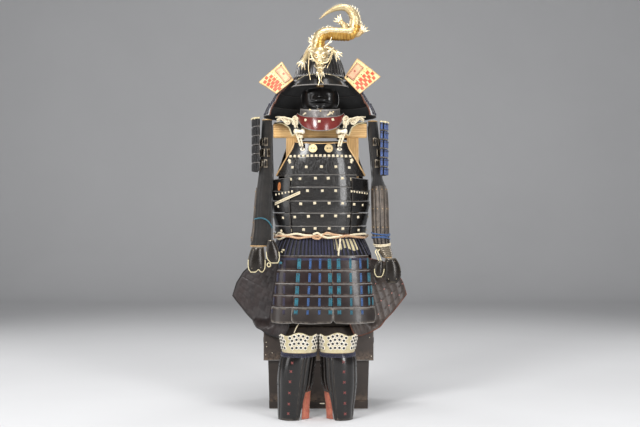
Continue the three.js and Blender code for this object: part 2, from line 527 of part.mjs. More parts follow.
piece('thigh_guard_band', wall(grid(14, [0, 1], (u, v) => {
  const [x, y] = ring(3, 163, 175, 106, 2.2, lerp(-112, 112, u));
  return V(x, y, lerp(702, 667 + 3, v));
}), 2), CLOTH_DARK, 0.9);

// ---------------------------------------------------------------- armoured sleeves and hand plates

const SLEEVE_LEFT = [
  { z: 1212, x: -225, y: 165, a: 21, b: 44 }, { z: 1150, x: -227, y: 165, a: 23, b: 48 }, { z: 1060, x: -228, y: 160, a: 26, b: 47 },
  { z: 985, x: -230, y: 148, a: 31, b: 44 }, { z: 900, x: -235, y: 128, a: 35, b: 42 }, { z: 820, x: -238, y: 108, a: 37, b: 40 },
  { z: 745, x: -241, y: 90, a: 40, b: 37 }, { z: 681, x: -246, y: 76, a: 45, b: 34 },
];
const SLEEVE_RIGHT = [
  { z: 1206, x: 224, y: 165, a: 20, b: 42 }, { z: 1140, x: 229, y: 165, a: 22, b: 46 }, { z: 1060, x: 236, y: 160, a: 22, b: 44 },
  { z: 970, x: 243, y: 146, a: 22, b: 42 }, { z: 925, x: 249, y: 136, a: 30, b: 41 }, { z: 850, x: 252, y: 116, a: 33, b: 39 },
  { z: 760, x: 253, y: 94, a: 33, b: 36 }, { z: 690, x: 258, y: 74, a: 30, b: 30 }, { z: 634, x: 281, y: 62, a: 18, b: 20 },
];
for (const [name, table] of [['sleeve_left', SLEEVE_LEFT], ['sleeve_right', SLEEVE_RIGHT]]) {
  piece(name, wall(table.map((row) => Array.from({ length: 12 }, (_, i) => {
    const [x, y] = ring(row.x, row.y, row.a, row.b, 2, i * 30 - 180);
    return V(x, y, row.z);
  })), CLOTH, true), CLOTH_DARK, 0.9);
}

const HANDS = {
  hand_plate_left: { y: 36, dome: 14, rows: [{ z: 677, x: -257, w: 46 }, { z: 650, x: -260, w: 60 }, { z: 615, x: -262, w: 70 }, { z: 588, x: -262, w: 66 }, { z: 574, x: -262, w: 48 }] },
  thumb_plate_left: { y: 30, dome: 9, rows: [{ z: 706, x: -203, w: 22 }, { z: 680, x: -199, w: 42 }, { z: 650, x: -195, w: 52 }, { z: 626, x: -192, w: 46 }, { z: 612, x: -188, w: 26 }] },
  hand_plate_right: { y: 40, dome: 14, rows: [{ z: 630, x: 292, w: 42 }, { z: 608, x: 297, w: 58 }, { z: 575, x: 300, w: 66 }, { z: 545, x: 300, w: 58 }, { z: 530, x: 299, w: 36 }] },
  thumb_plate_right: { y: 34, dome: 8, rows: [{ z: 620, x: 250, w: 20 }, { z: 604, x: 247, w: 34 }, { z: 584, x: 245, w: 38 }, { z: 566, x: 244, w: 32 }, { z: 555, x: 244, w: 18 }] },
};
for (const [name, hand] of Object.entries(HANDS)) {
  piece(name, wall(hand.rows.map((row) => steps(5).map((u) => {
    const s = 2 * u - 1;
    return V(row.x + s * row.w / 2, hand.y - hand.dome * (1 - s * s), row.z);
  })), 2), BRONZE, 0.4, 0.3);
}

// shoulder guards, bowed plates of six lames each, outside the sleeves
const GUARD = { z0: 1220, lame: 38, count: 6 };
for (const [name, cx, rx, from, to, drop] of [['shoulder_guard_left', -234, 50, -150, -30, 0], ['shoulder_guard_right', 232, 52, 14, 150, -16]]) {
  const rows = [];
  for (let k = 0; k < GUARD.count; k++) {
    for (const [z, out] of [[GUARD.z0 - k * GUARD.lame - (k ? 1.5 : 0), 3.5], [GUARD.z0 - (k + 1) * GUARD.lame + (k + 1 < GUARD.count ? 1.5 : 0), 0]]) {
      rows.push(steps(6).map((u) => {
        const [x, y] = ring(cx, 165, rx + out, 80 + out, 2, lerp(from, to, u));
        return V(x, y, z + drop);
      }));
    }
  }
  piece(name, wall(rows, 2.4), NAVY, 0.7);
}

// cream cords at the shoulders, from the strap's loop down to the chest plate
for (const [name, sign] of [['shoulder_cord_left', -1], ['shoulder_cord_right', 1]]) {
  piece(name, cord([V(sign * 182, 100, 1203), V(sign * 160, 92, 1212), V(sign * 132, 88, 1204), V(sign * 108, 80, 1200), V(sign * 98, 74, 1180),
    V(sign * 92, 66, 1150), V(sign * 80, 50, 1120), V(sign * 74, 48, 1094)].map((p) => p.add(V(2, 0, 0))), 4, 24), CREAM, 0.9);
}

// ---------------------------------------------------------------- shin guards, knee guards, inner leathers

const SHINS = {
  left: { rows: [{ z: 268, x: -82, a: 66, b: 72 }, { z: 225, x: -90, a: 70, b: 74 }, { z: 170, x: -97, a: 70, b: 72 }, { z: 110, x: -102, a: 65, b: 66 }, { z: 50, x: -107, a: 59, b: 60 }, { z: 0, x: -110, a: 56, b: 58 }], inner: 1 },
  right: { rows: [{ z: 268, x: 69, a: 66, b: 72 }, { z: 225, x: 73, a: 70, b: 74 }, { z: 170, x: 75, a: 70, b: 72 }, { z: 110, x: 79, a: 63, b: 66 }, { z: 50, x: 82, a: 52, b: 60 }, { z: 0, x: 84, a: 46, b: 58 }], inner: -1 },
};
const SHIN_Y = -126, SHIN_EDGE = 102, INNER_CUT = 112;
for (const [sideName, shin] of Object.entries(SHINS)) {
  const point = (deg, z, out) => {
    const [x, y] = ring(at(shin.rows, z, 'x'), SHIN_Y, at(shin.rows, z, 'a') + out, at(shin.rows, z, 'b') + out, 2.1, deg);
    return V(x, y, z);
  };
  const reach = (deg) => {                 // lower edge: cut away over the ankle on the inner side
    const w = THREE.MathUtils.smoothstep(deg * shin.inner, 26, 42);
    return lerp(0, INNER_CUT, w);
  };
  piece('shin_guard_' + sideName, wall(steps(5).map((v) => steps(14).map((u) => {
    const deg = lerp(-SHIN_EDGE, SHIN_EDGE, u);
    return point(deg, lerp(268, reach(deg), v), 0);
  })), 2.2), LACQUER, 0.35, 0.1);
  const from = shin.inner > 0 ? 44 : -100, to = shin.inner > 0 ? 100 : -44;
  piece('shin_leather_' + sideName, wall(grid(5, steps(3), (u, v) => point(lerp(from, to, u), lerp(130, 3, v), -3.2)), 2.4),
    TERRACOTTA, 0.7);
  // quilted knee guard with hexagonal plates, standing above the shin guard
  piece('knee_guard_' + sideName, wall(grid(12, steps(3), (u, v) => {
    const s = 2 * u - 1, deg = 104 * s;
    const top = 340 - 22 * s * s + 6 * Math.cos(s * 9), low = 270.5;
    const p = point(deg, 268, 3.6 + (1 - v) * (2 + 8 * Math.max(0, -s * shin.inner)));
    p.z = lerp(top, low, v);
    return p;
  }), 3), CREAM, 0.85);
}

set.position.set(FRAME.x, FRAME.y, 0);
export default set;
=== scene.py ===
# Samurai armour on its stand and storage chest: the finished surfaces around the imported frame.
# Sizes below are in millimetres in the drawing frame of the part; P() moves them to the row frame in metres.
import math

import bpy
import numpy as np
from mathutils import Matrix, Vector


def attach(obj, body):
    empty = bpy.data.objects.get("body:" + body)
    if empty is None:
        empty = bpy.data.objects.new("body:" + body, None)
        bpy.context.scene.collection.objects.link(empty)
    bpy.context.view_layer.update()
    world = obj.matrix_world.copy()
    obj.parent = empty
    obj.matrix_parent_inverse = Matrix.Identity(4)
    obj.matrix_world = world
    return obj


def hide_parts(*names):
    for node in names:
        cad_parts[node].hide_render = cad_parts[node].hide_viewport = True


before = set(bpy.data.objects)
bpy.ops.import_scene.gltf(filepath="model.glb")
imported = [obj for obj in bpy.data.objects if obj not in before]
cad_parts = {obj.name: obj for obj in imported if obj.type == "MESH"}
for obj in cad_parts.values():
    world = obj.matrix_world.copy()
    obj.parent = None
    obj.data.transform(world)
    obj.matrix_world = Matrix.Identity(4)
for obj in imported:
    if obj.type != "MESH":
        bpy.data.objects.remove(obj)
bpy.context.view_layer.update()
SHIFT = np.array([3.0, -94.2, 0.0])
PI = math.pi


def P(points):
    return (np.asarray(points, float) + SHIFT) / 1000.0


def lerp(a, b, t):
    return a + (b - a) * t


def smooth(lo, hi, x):
    t = np.clip((np.asarray(x, float) - lo) / (hi - lo), 0, 1)
    return t * t * (3 - 2 * t)


def unit(v):
    return v / np.maximum(np.linalg.norm(v, axis=-1, keepdims=True), 1e-9)


# ------------------------------------------------------------------ camera, light, floor

cam_data = bpy.data.cameras.new("camera")
cam_data.lens = 61.7
cam_data.sensor_width = 36.0
cam = bpy.data.objects.new("camera", cam_data)
cam.location = P([0, -4500, 816]).tolist()
cam.rotation_euler = (math.radians(90), 0, 0)
bpy.context.scene.collection.objects.link(cam)
bpy.context.scene.camera = cam


def area_light(name, where, aim, size, power, size_y=None, colour=(1, 1, 1)):
    data = bpy.data.lights.new(name, "AREA")
    data.energy = power
    data.color = colour
    data.shape = "RECTANGLE"
    data.size = size
    data.size_y = size_y or size
    o = bpy.data.objects.new(name, data)
    o.location = where
    o.rotation_euler = (Vector(aim) - Vector(where)).to_track_quat("-Z", "Y").to_euler()
    bpy.context.scene.collection.objects.link(o)
    return o


# ------------------------------------------------------------------ mesh tools


class Geo:
    """Points, faces, materials and corner UVs of one piece, gathered part by part."""

    def __init__(self):
        self.v, self.f, self.m, self.u, self.n = [], [], [], [], 0

    def add(self, v, f, mat=0, uv=None):
        v = np.asarray(v, float).reshape(-1, 3)
        f = np.asarray(f, int)
        if uv is None:
            p = v[f]
            n = np.abs(np.cross(p[:, 1] - p[:, 0], p[:, 2] - p[:, 0])).argmax(1)
            pick = np.array([[1, 2], [0, 2], [0, 1]])[n]
            uv = np.take_along_axis(p, pick[:, None, :].repeat(p.shape[1], 1), 2) / 1000.0
        self.v.append(v)
        self.f += (f + self.n).tolist()
        self.m += [mat] * len(f) if np.isscalar(mat) else list(mat)
        self.u.append(np.asarray(uv, float).reshape(-1, 2))
        self.n += len(v)

    def make(self, name, mats, slot, replaces=(), sharp=38, flat=False):
        me = bpy.data.meshes.new(name)
        me.from_pydata(P(np.concatenate(self.v)).tolist(), [], self.f)
        for m in mats:
            me.materials.append(m)
        me.polygons.foreach_set("material_index", np.array(self.m, dtype=np.int32))
        me.polygons.foreach_set("use_smooth", np.full(len(self.f), not flat))
        layer = me.uv_layers.new(name="UVMap")
        layer.data.foreach_set("uv", np.concatenate(self.u).astype(np.float32).ravel())
        if not flat:
            me.set_sharp_from_angle(angle=math.radians(sharp))
        me.update()
        o = bpy.data.objects.new(name, me)
        bpy.context.scene.collection.objects.link(o)
        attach(o, "root")
        if replaces:
            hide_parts(*([replaces] if isinstance(replaces, str) else replaces))
        return o


def normals(R, loop=False):
    across = np.roll(R, -1, 1) - np.roll(R, 1, 1) if loop else np.gradient(R, axis=1)
    return unit(np.cross(np.gradient(R, axis=0), across))


def grid_faces(nj, ni, loop=False):
    j, i = np.meshgrid(np.arange(nj - 1), np.arange(ni if loop else ni - 1), indexing="ij")
    k = (i + 1) % ni
    return np.stack([j * ni + i, (j + 1) * ni + i, (j + 1) * ni + k, j * ni + k], -1).reshape(-1, 4)


def grid_uv(R, loop=False, at=(0, 0)):
    """Corner UVs of a grid, in metres along its rows and columns."""
    nj, ni = R.shape[:2]
    Q = np.concatenate([R, R[:, :1]], 1) if loop else R
    du = np.linalg.norm(np.diff(Q, axis=1), axis=2).mean(0)
    dv = np.linalg.norm(np.diff(Q, axis=0), axis=2).mean(1)
    u = np.concatenate([[0], np.cumsum(du)]) / 1000 + at[0]
    v = -np.concatenate([[0], np.cumsum(dv)]) / 1000 + at[1]
    j, i = np.meshgrid(np.arange(nj - 1), np.arange(len(u) - 1), indexing="ij")
    c = [(j, i), (j + 1, i), (j + 1, i + 1), (j, i + 1)]
    return np.stack([np.stack([u[b], v[a]], -1) for a, b in c], 2).reshape(-1, 4, 2)


def shell(g, R, thick, mat=0, mat_in=None, loop=False, at=(0, 0), rim=None, holes=None):
    """Closed wall: rows run down, columns run with the plan angle, R is the outer face."""
    R = np.asarray(R, float)
    nj, ni = R.shape[:2]
    n = normals(R, loop)
    inner = R - n * (thick[..., None] if hasattr(thick, "shape") else thick)
    F, U = grid_faces(nj, ni, loop), grid_uv(R, loop, at)
    off = nj * ni
    G, W = F[:, ::-1] + off, U[:, ::-1]
    faces, uvs, ms = [F, G], [U, W], [np.full(len(F), mat), np.full(len(G), mat if mat_in is None else mat_in)]
    i = np.arange(ni if loop else ni - 1)
    k = (i + 1) % ni
    top = np.stack([i, k, off + k, off + i], -1)
    low = np.stack([(nj - 1) * ni + k, (nj - 1) * ni + i, off + (nj - 1) * ni + i, off + (nj - 1) * ni + k], -1)
    edges = [top, low]
    if not loop:
        j = np.arange(nj - 1)
        edges.append(np.stack([(j + 1) * ni, j * ni, off + j * ni, off + (j + 1) * ni], -1))
        edges.append(np.stack([j * ni + ni - 1, (j + 1) * ni + ni - 1, off + (j + 1) * ni + ni - 1, off + j * ni + ni - 1], -1))
    V = np.concatenate([R.reshape(-1, 3), inner.reshape(-1, 3)])
    E = np.concatenate(edges)
    faces.append(E)
    uvs.append(np.stack([V[E][:, :, 0], V[E][:, :, 2]], -1) / 1000)
    ms.append(np.full(len(E), mat if rim is None else rim))
    g.add(V, np.concatenate(faces), np.concatenate(ms).tolist(), np.concatenate(uvs))
    return n


def spline(points, n, closed=False):
    """Evenly spaced points on a smooth curve through the given ones."""
    p = np.asarray(points, float)
    if closed:
        q = np.concatenate([p[-2:], p, p[:3]])
    else:
        q = np.concatenate([[2 * p[0] - p[1]], p, [2 * p[-1] - p[-2]]])
    out = []
    first, last = (2, len(p) + 2) if closed else (1, len(p))
    for k in range(first, last):
        a, b, c, d = q[k - 1], q[k], q[k + 1], q[k + 2] if k + 2 < len(q) else 2 * q[k + 1] - q[k]
        t = np.linspace(0, 1, 24, endpoint=False)[:, None]
        out.append(0.5 * (2 * b + (c - a) * t + (2 * a - 5 * b + 4 * c - d) * t * t + (3 * b - a - 3 * c + d) * t**3))
    out = np.concatenate(out + [[p[0] if closed else p[-1]]])
    s = np.concatenate([[0], np.cumsum(np.linalg.norm(np.diff(out, axis=0), axis=1))])
    want = np.linspace(0, s[-1], n + 1 if closed else n)
    res = np.stack([np.interp(want, s, out[:, c]) for c in range(3)], 1)
    return res[:-1] if closed else res


def carry(T, start):
    """A side vector for each tangent, turned as little as it can be."""
    out, u = [], start
    for t in T:
        u = u - t * np.dot(u, t)
        u = u / max(np.linalg.norm(u), 1e-9)
        out.append(u)
    return np.array(out)


def tube(g, path, r, sides=8, mat=0, closed=False, twist=0, lobes=0, amp=0.18, squash=1.0, up=None, nrm=None):
    """Round tube along a path. lobes and twist (turns a metre) lay strands round it; squash flattens it along nrm."""
    p = np.asarray(path, float)
    N = len(p)
    T = unit(np.roll(p, -1, 0) - np.roll(p, 1, 0)) if closed else unit(np.gradient(p, axis=0))
    if nrm is not None:
        A = unit(np.asarray(nrm, float) - T * (np.asarray(nrm, float) * T).sum(1, keepdims=True))
    else:
        start = np.array(up if up is not None else (0.02, -1.0, 0.03))
        A = carry(T, start)
        if closed:  # spread what is left of the turn over the loop
            last = A[-1] - T[0] * np.dot(A[-1], T[0])
            last = last / np.linalg.norm(last)
            ang = math.atan2(np.dot(np.cross(last, A[0]), T[0]), np.dot(last, A[0]))
            w = ang * np.arange(N) / N
            A = A * np.cos(w)[:, None] + np.cross(T, A) * np.sin(w)[:, None]
    B = np.cross(T, A)
    s = np.concatenate([[0], np.cumsum(np.linalg.norm(np.diff(p, axis=0), axis=1))])
    rr = np.broadcast_to(np.asarray(r, float), (N,))
    th = np.arange(sides) / sides * 2 * PI
    total = max(s[-1], 1e-6)
    turns = twist if not closed else round(twist * total / 1000) * 1000 / total
    ph = th[None, :] - turns * s[:, None] / 1000 * 2 * PI / max(lobes, 1)
    k = 1 + (amp * (np.abs(np.cos(lobes * ph / 2)) - 0.7) if lobes else 0)
    rad = rr[:, None] * k
    V = p[:, None] + A[:, None] * (rad * np.cos(th) * squash)[..., None] + B[:, None] * (rad * np.sin(th))[..., None]
    rows = V[::-1] if False else V
    nj = N
    j, i = np.meshgrid(np.arange(nj if closed else nj - 1), np.arange(sides), indexing="ij")
    j2, i2 = (j + 1) % nj, (i + 1) % sides
    F = np.stack([j * sides + i, j * sides + i2, j2 * sides + i2, j2 * sides + i], -1).reshape(-1, 4)
    ss = s / 1000
    s_next = np.where(j + 1 < nj, ss[np.minimum(j + 1, nj - 1)], total / 1000 + 0.001)
    c = 2 * PI * float(rr.mean()) / 1000 / sides
    U = np.stack([np.stack([i * c, ss[j]], -1), np.stack([(i + 1) * c, ss[j]], -1),
                  np.stack([(i + 1) * c, s_next], -1), np.stack([i * c, s_next], -1)], 2).reshape(-1, 4, 2)
    g.add(V.reshape(-1, 3), F, mat, U)
    if not closed:
        for end, order in ((0, -1), (nj - 1, 1)):
            tip = p[end] + (T[end] * (1 if end else -1)) * rr[end] * 0.45
            vs = np.concatenate([V[end], [tip]])
            a = np.arange(sides)
            f = np.stack([a, (a + 1) % sides, np.full(sides, sides)], -1)
            g.add(vs, f if order > 0 else f[:, ::-1], mat)


def ribbon(g, path, nrm, width, thick, mat=0, strands=2, lift=0.0, across=7):
    """Flat lace on a surface: path, surface normals, full width; strands lie side by side."""
    p, n = np.asarray(path, float), unit(np.asarray(nrm, float))
    T = unit(np.gradient(p, axis=0))
    n = unit(n - T * (n * T).sum(1, keepdims=True))
    S = np.cross(T, n)
    t = np.linspace(-1, 1, across)
    h = (1 - 0.55 * np.abs(t) ** 4) * (0.62 + 0.38 * np.abs(np.sin(strands * PI * (t + 1) / 2)))
    w = np.broadcast_to(np.asarray(width, float), (len(p),))
    top = p[:, None] + S[:, None] * (t[None, :] * w[:, None] / 2)[..., None] + n[:, None] * (lift + thick * h)[None, :, None]
    low = p[:, None] + S[:, None] * (t[None, ::-1] * w[:, None] / 2)[..., None] + n[:, None] * (lift + 0 * h)[None, :, None]
    V = np.concatenate([top, low], 1)
    m = V.shape[1]
    N = len(p)
    j, i = np.meshgrid(np.arange(N - 1), np.arange(m), indexing="ij")
    k = (i + 1) % m
    F = np.stack([j * m + i, j * m + k, (j + 1) * m + k, (j + 1) * m + i], -1).reshape(-1, 4)
    s = np.concatenate([[0], np.cumsum(np.linalg.norm(np.diff(p, axis=0), axis=1))]) / 1000
    wu = np.concatenate([t, t[::-1]]) * float(w.mean()) / 2000
    U = np.stack([np.stack([wu[i], s[j]], -1), np.stack([wu[k], s[j]], -1), np.stack([wu[k], s[j + 1]], -1), np.stack([wu[i], s[j + 1]], -1)], 2).reshape(-1, 4, 2)
    g.add(V.reshape(-1, 3), F, mat, U)
    a = np.arange(m)
    for end, flip in ((0, True), (N - 1, False)):
        vs = np.concatenate([V[end], [V[end].mean(0)]])
        f = np.stack([a, (a + 1) % m, np.full(m, m)], -1)
        g.add(vs, f[:, ::-1] if flip else f, mat)


def pillow(nx, ny, w, h, t, power=4.0, ridge=0.0, groove=0.0):
    """Small domed pad as (points, faces), lying on z = 0; ridge raises a cross over it."""
    x, y = np.meshgrid(np.linspace(-1, 1, nx), np.linspace(1, -1, ny))
    z = np.clip(1 - np.abs(x) ** power, 0, 1) ** 0.5 * np.clip(1 - np.abs(y) ** power, 0, 1) ** 0.5
    if ridge:
        d = np.minimum(np.abs(x - y), np.abs(x + y))
        z = z * (1 - ridge + ridge * np.exp(-((d / 0.42) ** 2)))
    if groove:
        z = z * (1 - groove * np.exp(-((y / 0.16) ** 2)))
    top = np.stack([x * w / 2, y * h / 2, z * t], -1)
    low = top.copy()
    low[..., 2] = -0.6
    F = grid_faces(ny, nx)
    off = nx * ny
    i = np.arange(nx - 1)
    j = np.arange(ny - 1)
    E = np.concatenate([
        np.stack([i, i + 1, off + i + 1, off + i], -1),
        np.stack([(ny - 1) * nx + i + 1, (ny - 1) * nx + i, off + (ny - 1) * nx + i, off + (ny - 1) * nx + i + 1], -1),
        np.stack([(j + 1) * nx, j * nx, off + j * nx, off + (j + 1) * nx], -1),
        np.stack([j * nx + nx - 1, (j + 1) * nx + nx - 1, off + (j + 1) * nx + nx - 1, off + j * nx + nx - 1], -1)])
    return np.concatenate([top.reshape(-1, 3), low.reshape(-1, 3)]), np.concatenate([F, F[:, ::-1] + off, E])


def dome(r, h, rings=3, sides=10):
    pts, F = [[0, 0, h]], []
    for k in range(1, rings + 1):
        q = k / rings * PI / 2
        for a in range(sides):
            w = a / sides * 2 * PI
            pts.append([r * math.sin(q) * math.cos(w), r * math.sin(q) * math.sin(w), h * math.cos(q)])
    tri, quad = [], []
    for a in range(sides):
        tri.append([0, 1 + a, 1 + (a + 1) % sides])
    for k in range(rings - 1):
        for a in range(sides):
            b = (a + 1) % sides
            quad.append([1 + k * sides + a, 1 + (k + 1) * sides + a, 1 + (k + 1) * sides + b, 1 + k * sides + b])
    last = 1 + (rings - 1) * sides
    pts.append([0, 0, -0.6])
    for a in range(sides):
        tri.append([last + (a + 1) % sides, last + a, len(pts) - 1])
    return np.array(pts, float), [np.array(tri), np.array(quad)]


def place(g, shape, where, X, Y, Z, mat=0, scale=1.0):
    """Puts a small shape on a surface: X across it, Y up it, Z out of it."""
    v, faces = shape
    M = np.stack([X, Y, Z], 0)
    w = v * scale @ M + np.asarray(where, float)
    for f in (faces if isinstance(faces, list) else [faces]):
        if len(f):
            uv = np.stack([v[f][:, :, 0], v[f][:, :, 1]], -1) / 1000
            g.add(w, f, mat, uv)


def prism(outline, height, bevel=0.8, hole=None):
    """Flat plate with bevelled edges from a convex outline (counterclockwise), with an optional hole outline of as many points."""
    o = np.asarray(outline, float)
    n = len(o)
    c = o.mean(0)
    i = np.arange(n)
    k = (i + 1) % n
    shrink = c + (o - c) * (1 - bevel / np.linalg.norm(o - c, axis=1).mean())
    ring = lambda q, z: np.concatenate([q, np.full((n, 1), z)], 1)
    rows = [ring(o, -0.6), ring(o, height - bevel * 0.7), ring(shrink, height)]
    if hole is not None:
        h = np.asarray(hole, float)
        rows += [ring(c + (h - c) * 1.08, height - 0.1), ring(h, height * 0.25), ring(h, -0.6)]
        rows.append(rows[0])
        V = np.concatenate(rows[:-1])
        m = len(rows) - 1
        F = [np.stack([a * n + i, a * n + k, ((a + 1) % m) * n + k, ((a + 1) % m) * n + i], -1) for a in range(m)]
        return V, np.concatenate(F)
    V = np.concatenate(rows + [[[c[0], c[1], height]], [[c[0], c[1], -0.6]]])
    F = [np.stack([a * n + i, a * n + k, (a + 1) * n + k, (a + 1) * n + i], -1) for a in range(2)]
    top = np.stack([2 * n + i, 2 * n + k, np.full(n, 3 * n)], -1)
    low = np.stack([k, i, np.full(n, 3 * n + 1)], -1)
    return V, [np.concatenate(F), np.concatenate([top, low])]


def rounded_box(g, x0, x1, y0, y1, z0, z1, r=2.0, mat=0, taper=None, seg=3):
    """Box with rounded edges; taper=(x, y) narrows its foot on each side by that much."""
    c = np.array([(x0 + x1) / 2, (y0 + y1) / 2, (z0 + z1) / 2])
    h = np.array([x1 - x0, y1 - y0, z1 - z0]) / 2
    k = 2 + 2 * seg + 2
    t = np.concatenate([-1 + 0 * np.arange(1), np.linspace(0, 1, seg + 1)[1:-1], [1]]) if False else None
    base = []
    q = np.linspace(-1, 1, 2 * seg + 2)
    F6, V6 = [], []
    n = len(q)
    for axis in range(3):
        for sign in (-1, 1):
            a, b = [i for i in range(3) if i != axis]
            A, B = np.meshgrid(q, q, indexing="ij")
            p = np.zeros((n, n, 3))
            core = h - r

            def edge(Q, hh):
                m = seg
                idx = np.arange(n)
                ang = np.where(idx <= m, (idx / m - 1) * PI / 4, (idx - m - 1) / m * PI / 4)
                return np.where(idx <= m, -1, 1) * hh, np.tan(ang)
            ca, ta = edge(q, core[a])
            cb, tb = edge(q, core[b])
            d = np.zeros((n, n, 3))
            d[..., a] = ta[:, None]
            d[..., b] = tb[None, :]
            d[..., axis] = sign
            d = unit(d)
            p[..., a] = ca[:, None]
            p[..., b] = cb[None, :]
            p[..., axis] = sign * core[axis]
            p = p + d * r
            f = grid_faces(n, n)
            pv = p.reshape(-1, 3)
            e = pv[f[0]]
            mid = pv[f].mean(1)
            nn = np.cross(pv[f][:, 1] - pv[f][:, 0], pv[f][:, 2] - pv[f][:, 0])
            if (nn * d.reshape(-1, 3)[f[:, 0]]).sum() < 0:
                f = f[:, ::-1]
            F6.append(f + len(V6) * n * n)
            V6.append(pv)
    V = np.concatenate(V6)
    if taper is not None:
        w = (h[2] - V[:, 2]) / (2 * h[2])
        V[:, 0] *= 1 - taper[0] * w / h[0]
        V[:, 1] *= 1 - taper[1] * w / h[1]
    V = V + c
    key = np.round(V, 4)
    _, first, inv = np.unique(key, axis=0, return_index=True, return_inverse=True)
    inv = inv.ravel()
    F = inv[np.concatenate(F6)]
    g.add(V[first], F, mat)


def interp(table, z, column):
    """Smooth reading of a table whose first column falls from row to row."""
    T = np.asarray(table, float)[::-1]
    x, y = T[:, 0], T[:, column]
    m = np.gradient(y, x)
    d = np.diff(y) / np.diff(x)
    for k in range(len(d)):  # keeps the curve from passing its rows
        if d[k] == 0:
            m[k] = m[k + 1] = 0
        else:
            m[k] = np.sign(d[k]) * min(abs(m[k]), 3 * abs(d[k])) if m[k] * d[k] > 0 else 0
            m[k + 1] = np.sign(d[k]) * min(abs(m[k + 1]), 3 * abs(d[k])) if m[k + 1] * d[k] > 0 else 0
    z = np.clip(np.asarray(z, float), x[0], x[-1])
    k = np.clip(np.searchsorted(x, z, side="right") - 1, 0, len(d) - 1)
    h = x[k + 1] - x[k]
    t = (z - x[k]) / h
    return ((2 * t**3 - 3 * t**2 + 1) * y[k] + (t**3 - 2 * t**2 + t) * h * m[k] + (-2 * t**3 + 3 * t**2) * y[k + 1] + (t**3 - t**2) * h * m[k + 1])


def straight(table, z, column):
    T = np.asarray(table, float)[::-1]
    return np.interp(z, T[:, 0], T[:, column])


def ring(cx, cy, a, b, n, deg):
    q = np.radians(deg)
    s, c = np.sin(q), np.cos(q)
    r = ((np.abs(s) / a) ** n + (np.abs(c) / b) ** n) ** (-1.0 / n)
    return cx + r * s, cy - r * c


def stack(x, y, z):
    return np.stack(np.broadcast_arrays(np.asarray(x, float), np.asarray(y, float), np.asarray(z, float)), -1)


def ground(fn, a, b, e=0.25):
    """Point, across, up and outward directions of a surface fn(deg, z) at (a, b)."""
    p = fn(a, b)
    X = unit(fn(a + e, b) - fn(a - e, b))
    D = unit(fn(a, b + 1.0) - fn(a, b - 1.0))
    Z = unit(np.cross(X, D))
    return p, X, np.cross(Z, X), Z


# ------------------------------------------------------------------ materials


def rgb(r, g, b):
    """Linear colour from an 8-bit display colour."""
    return tuple((c / 12.92 if c <= 0.04045 else ((c + 0.055) / 1.055) ** 2.4) for c in (r / 255, g / 255, b / 255)) + (1.0,)


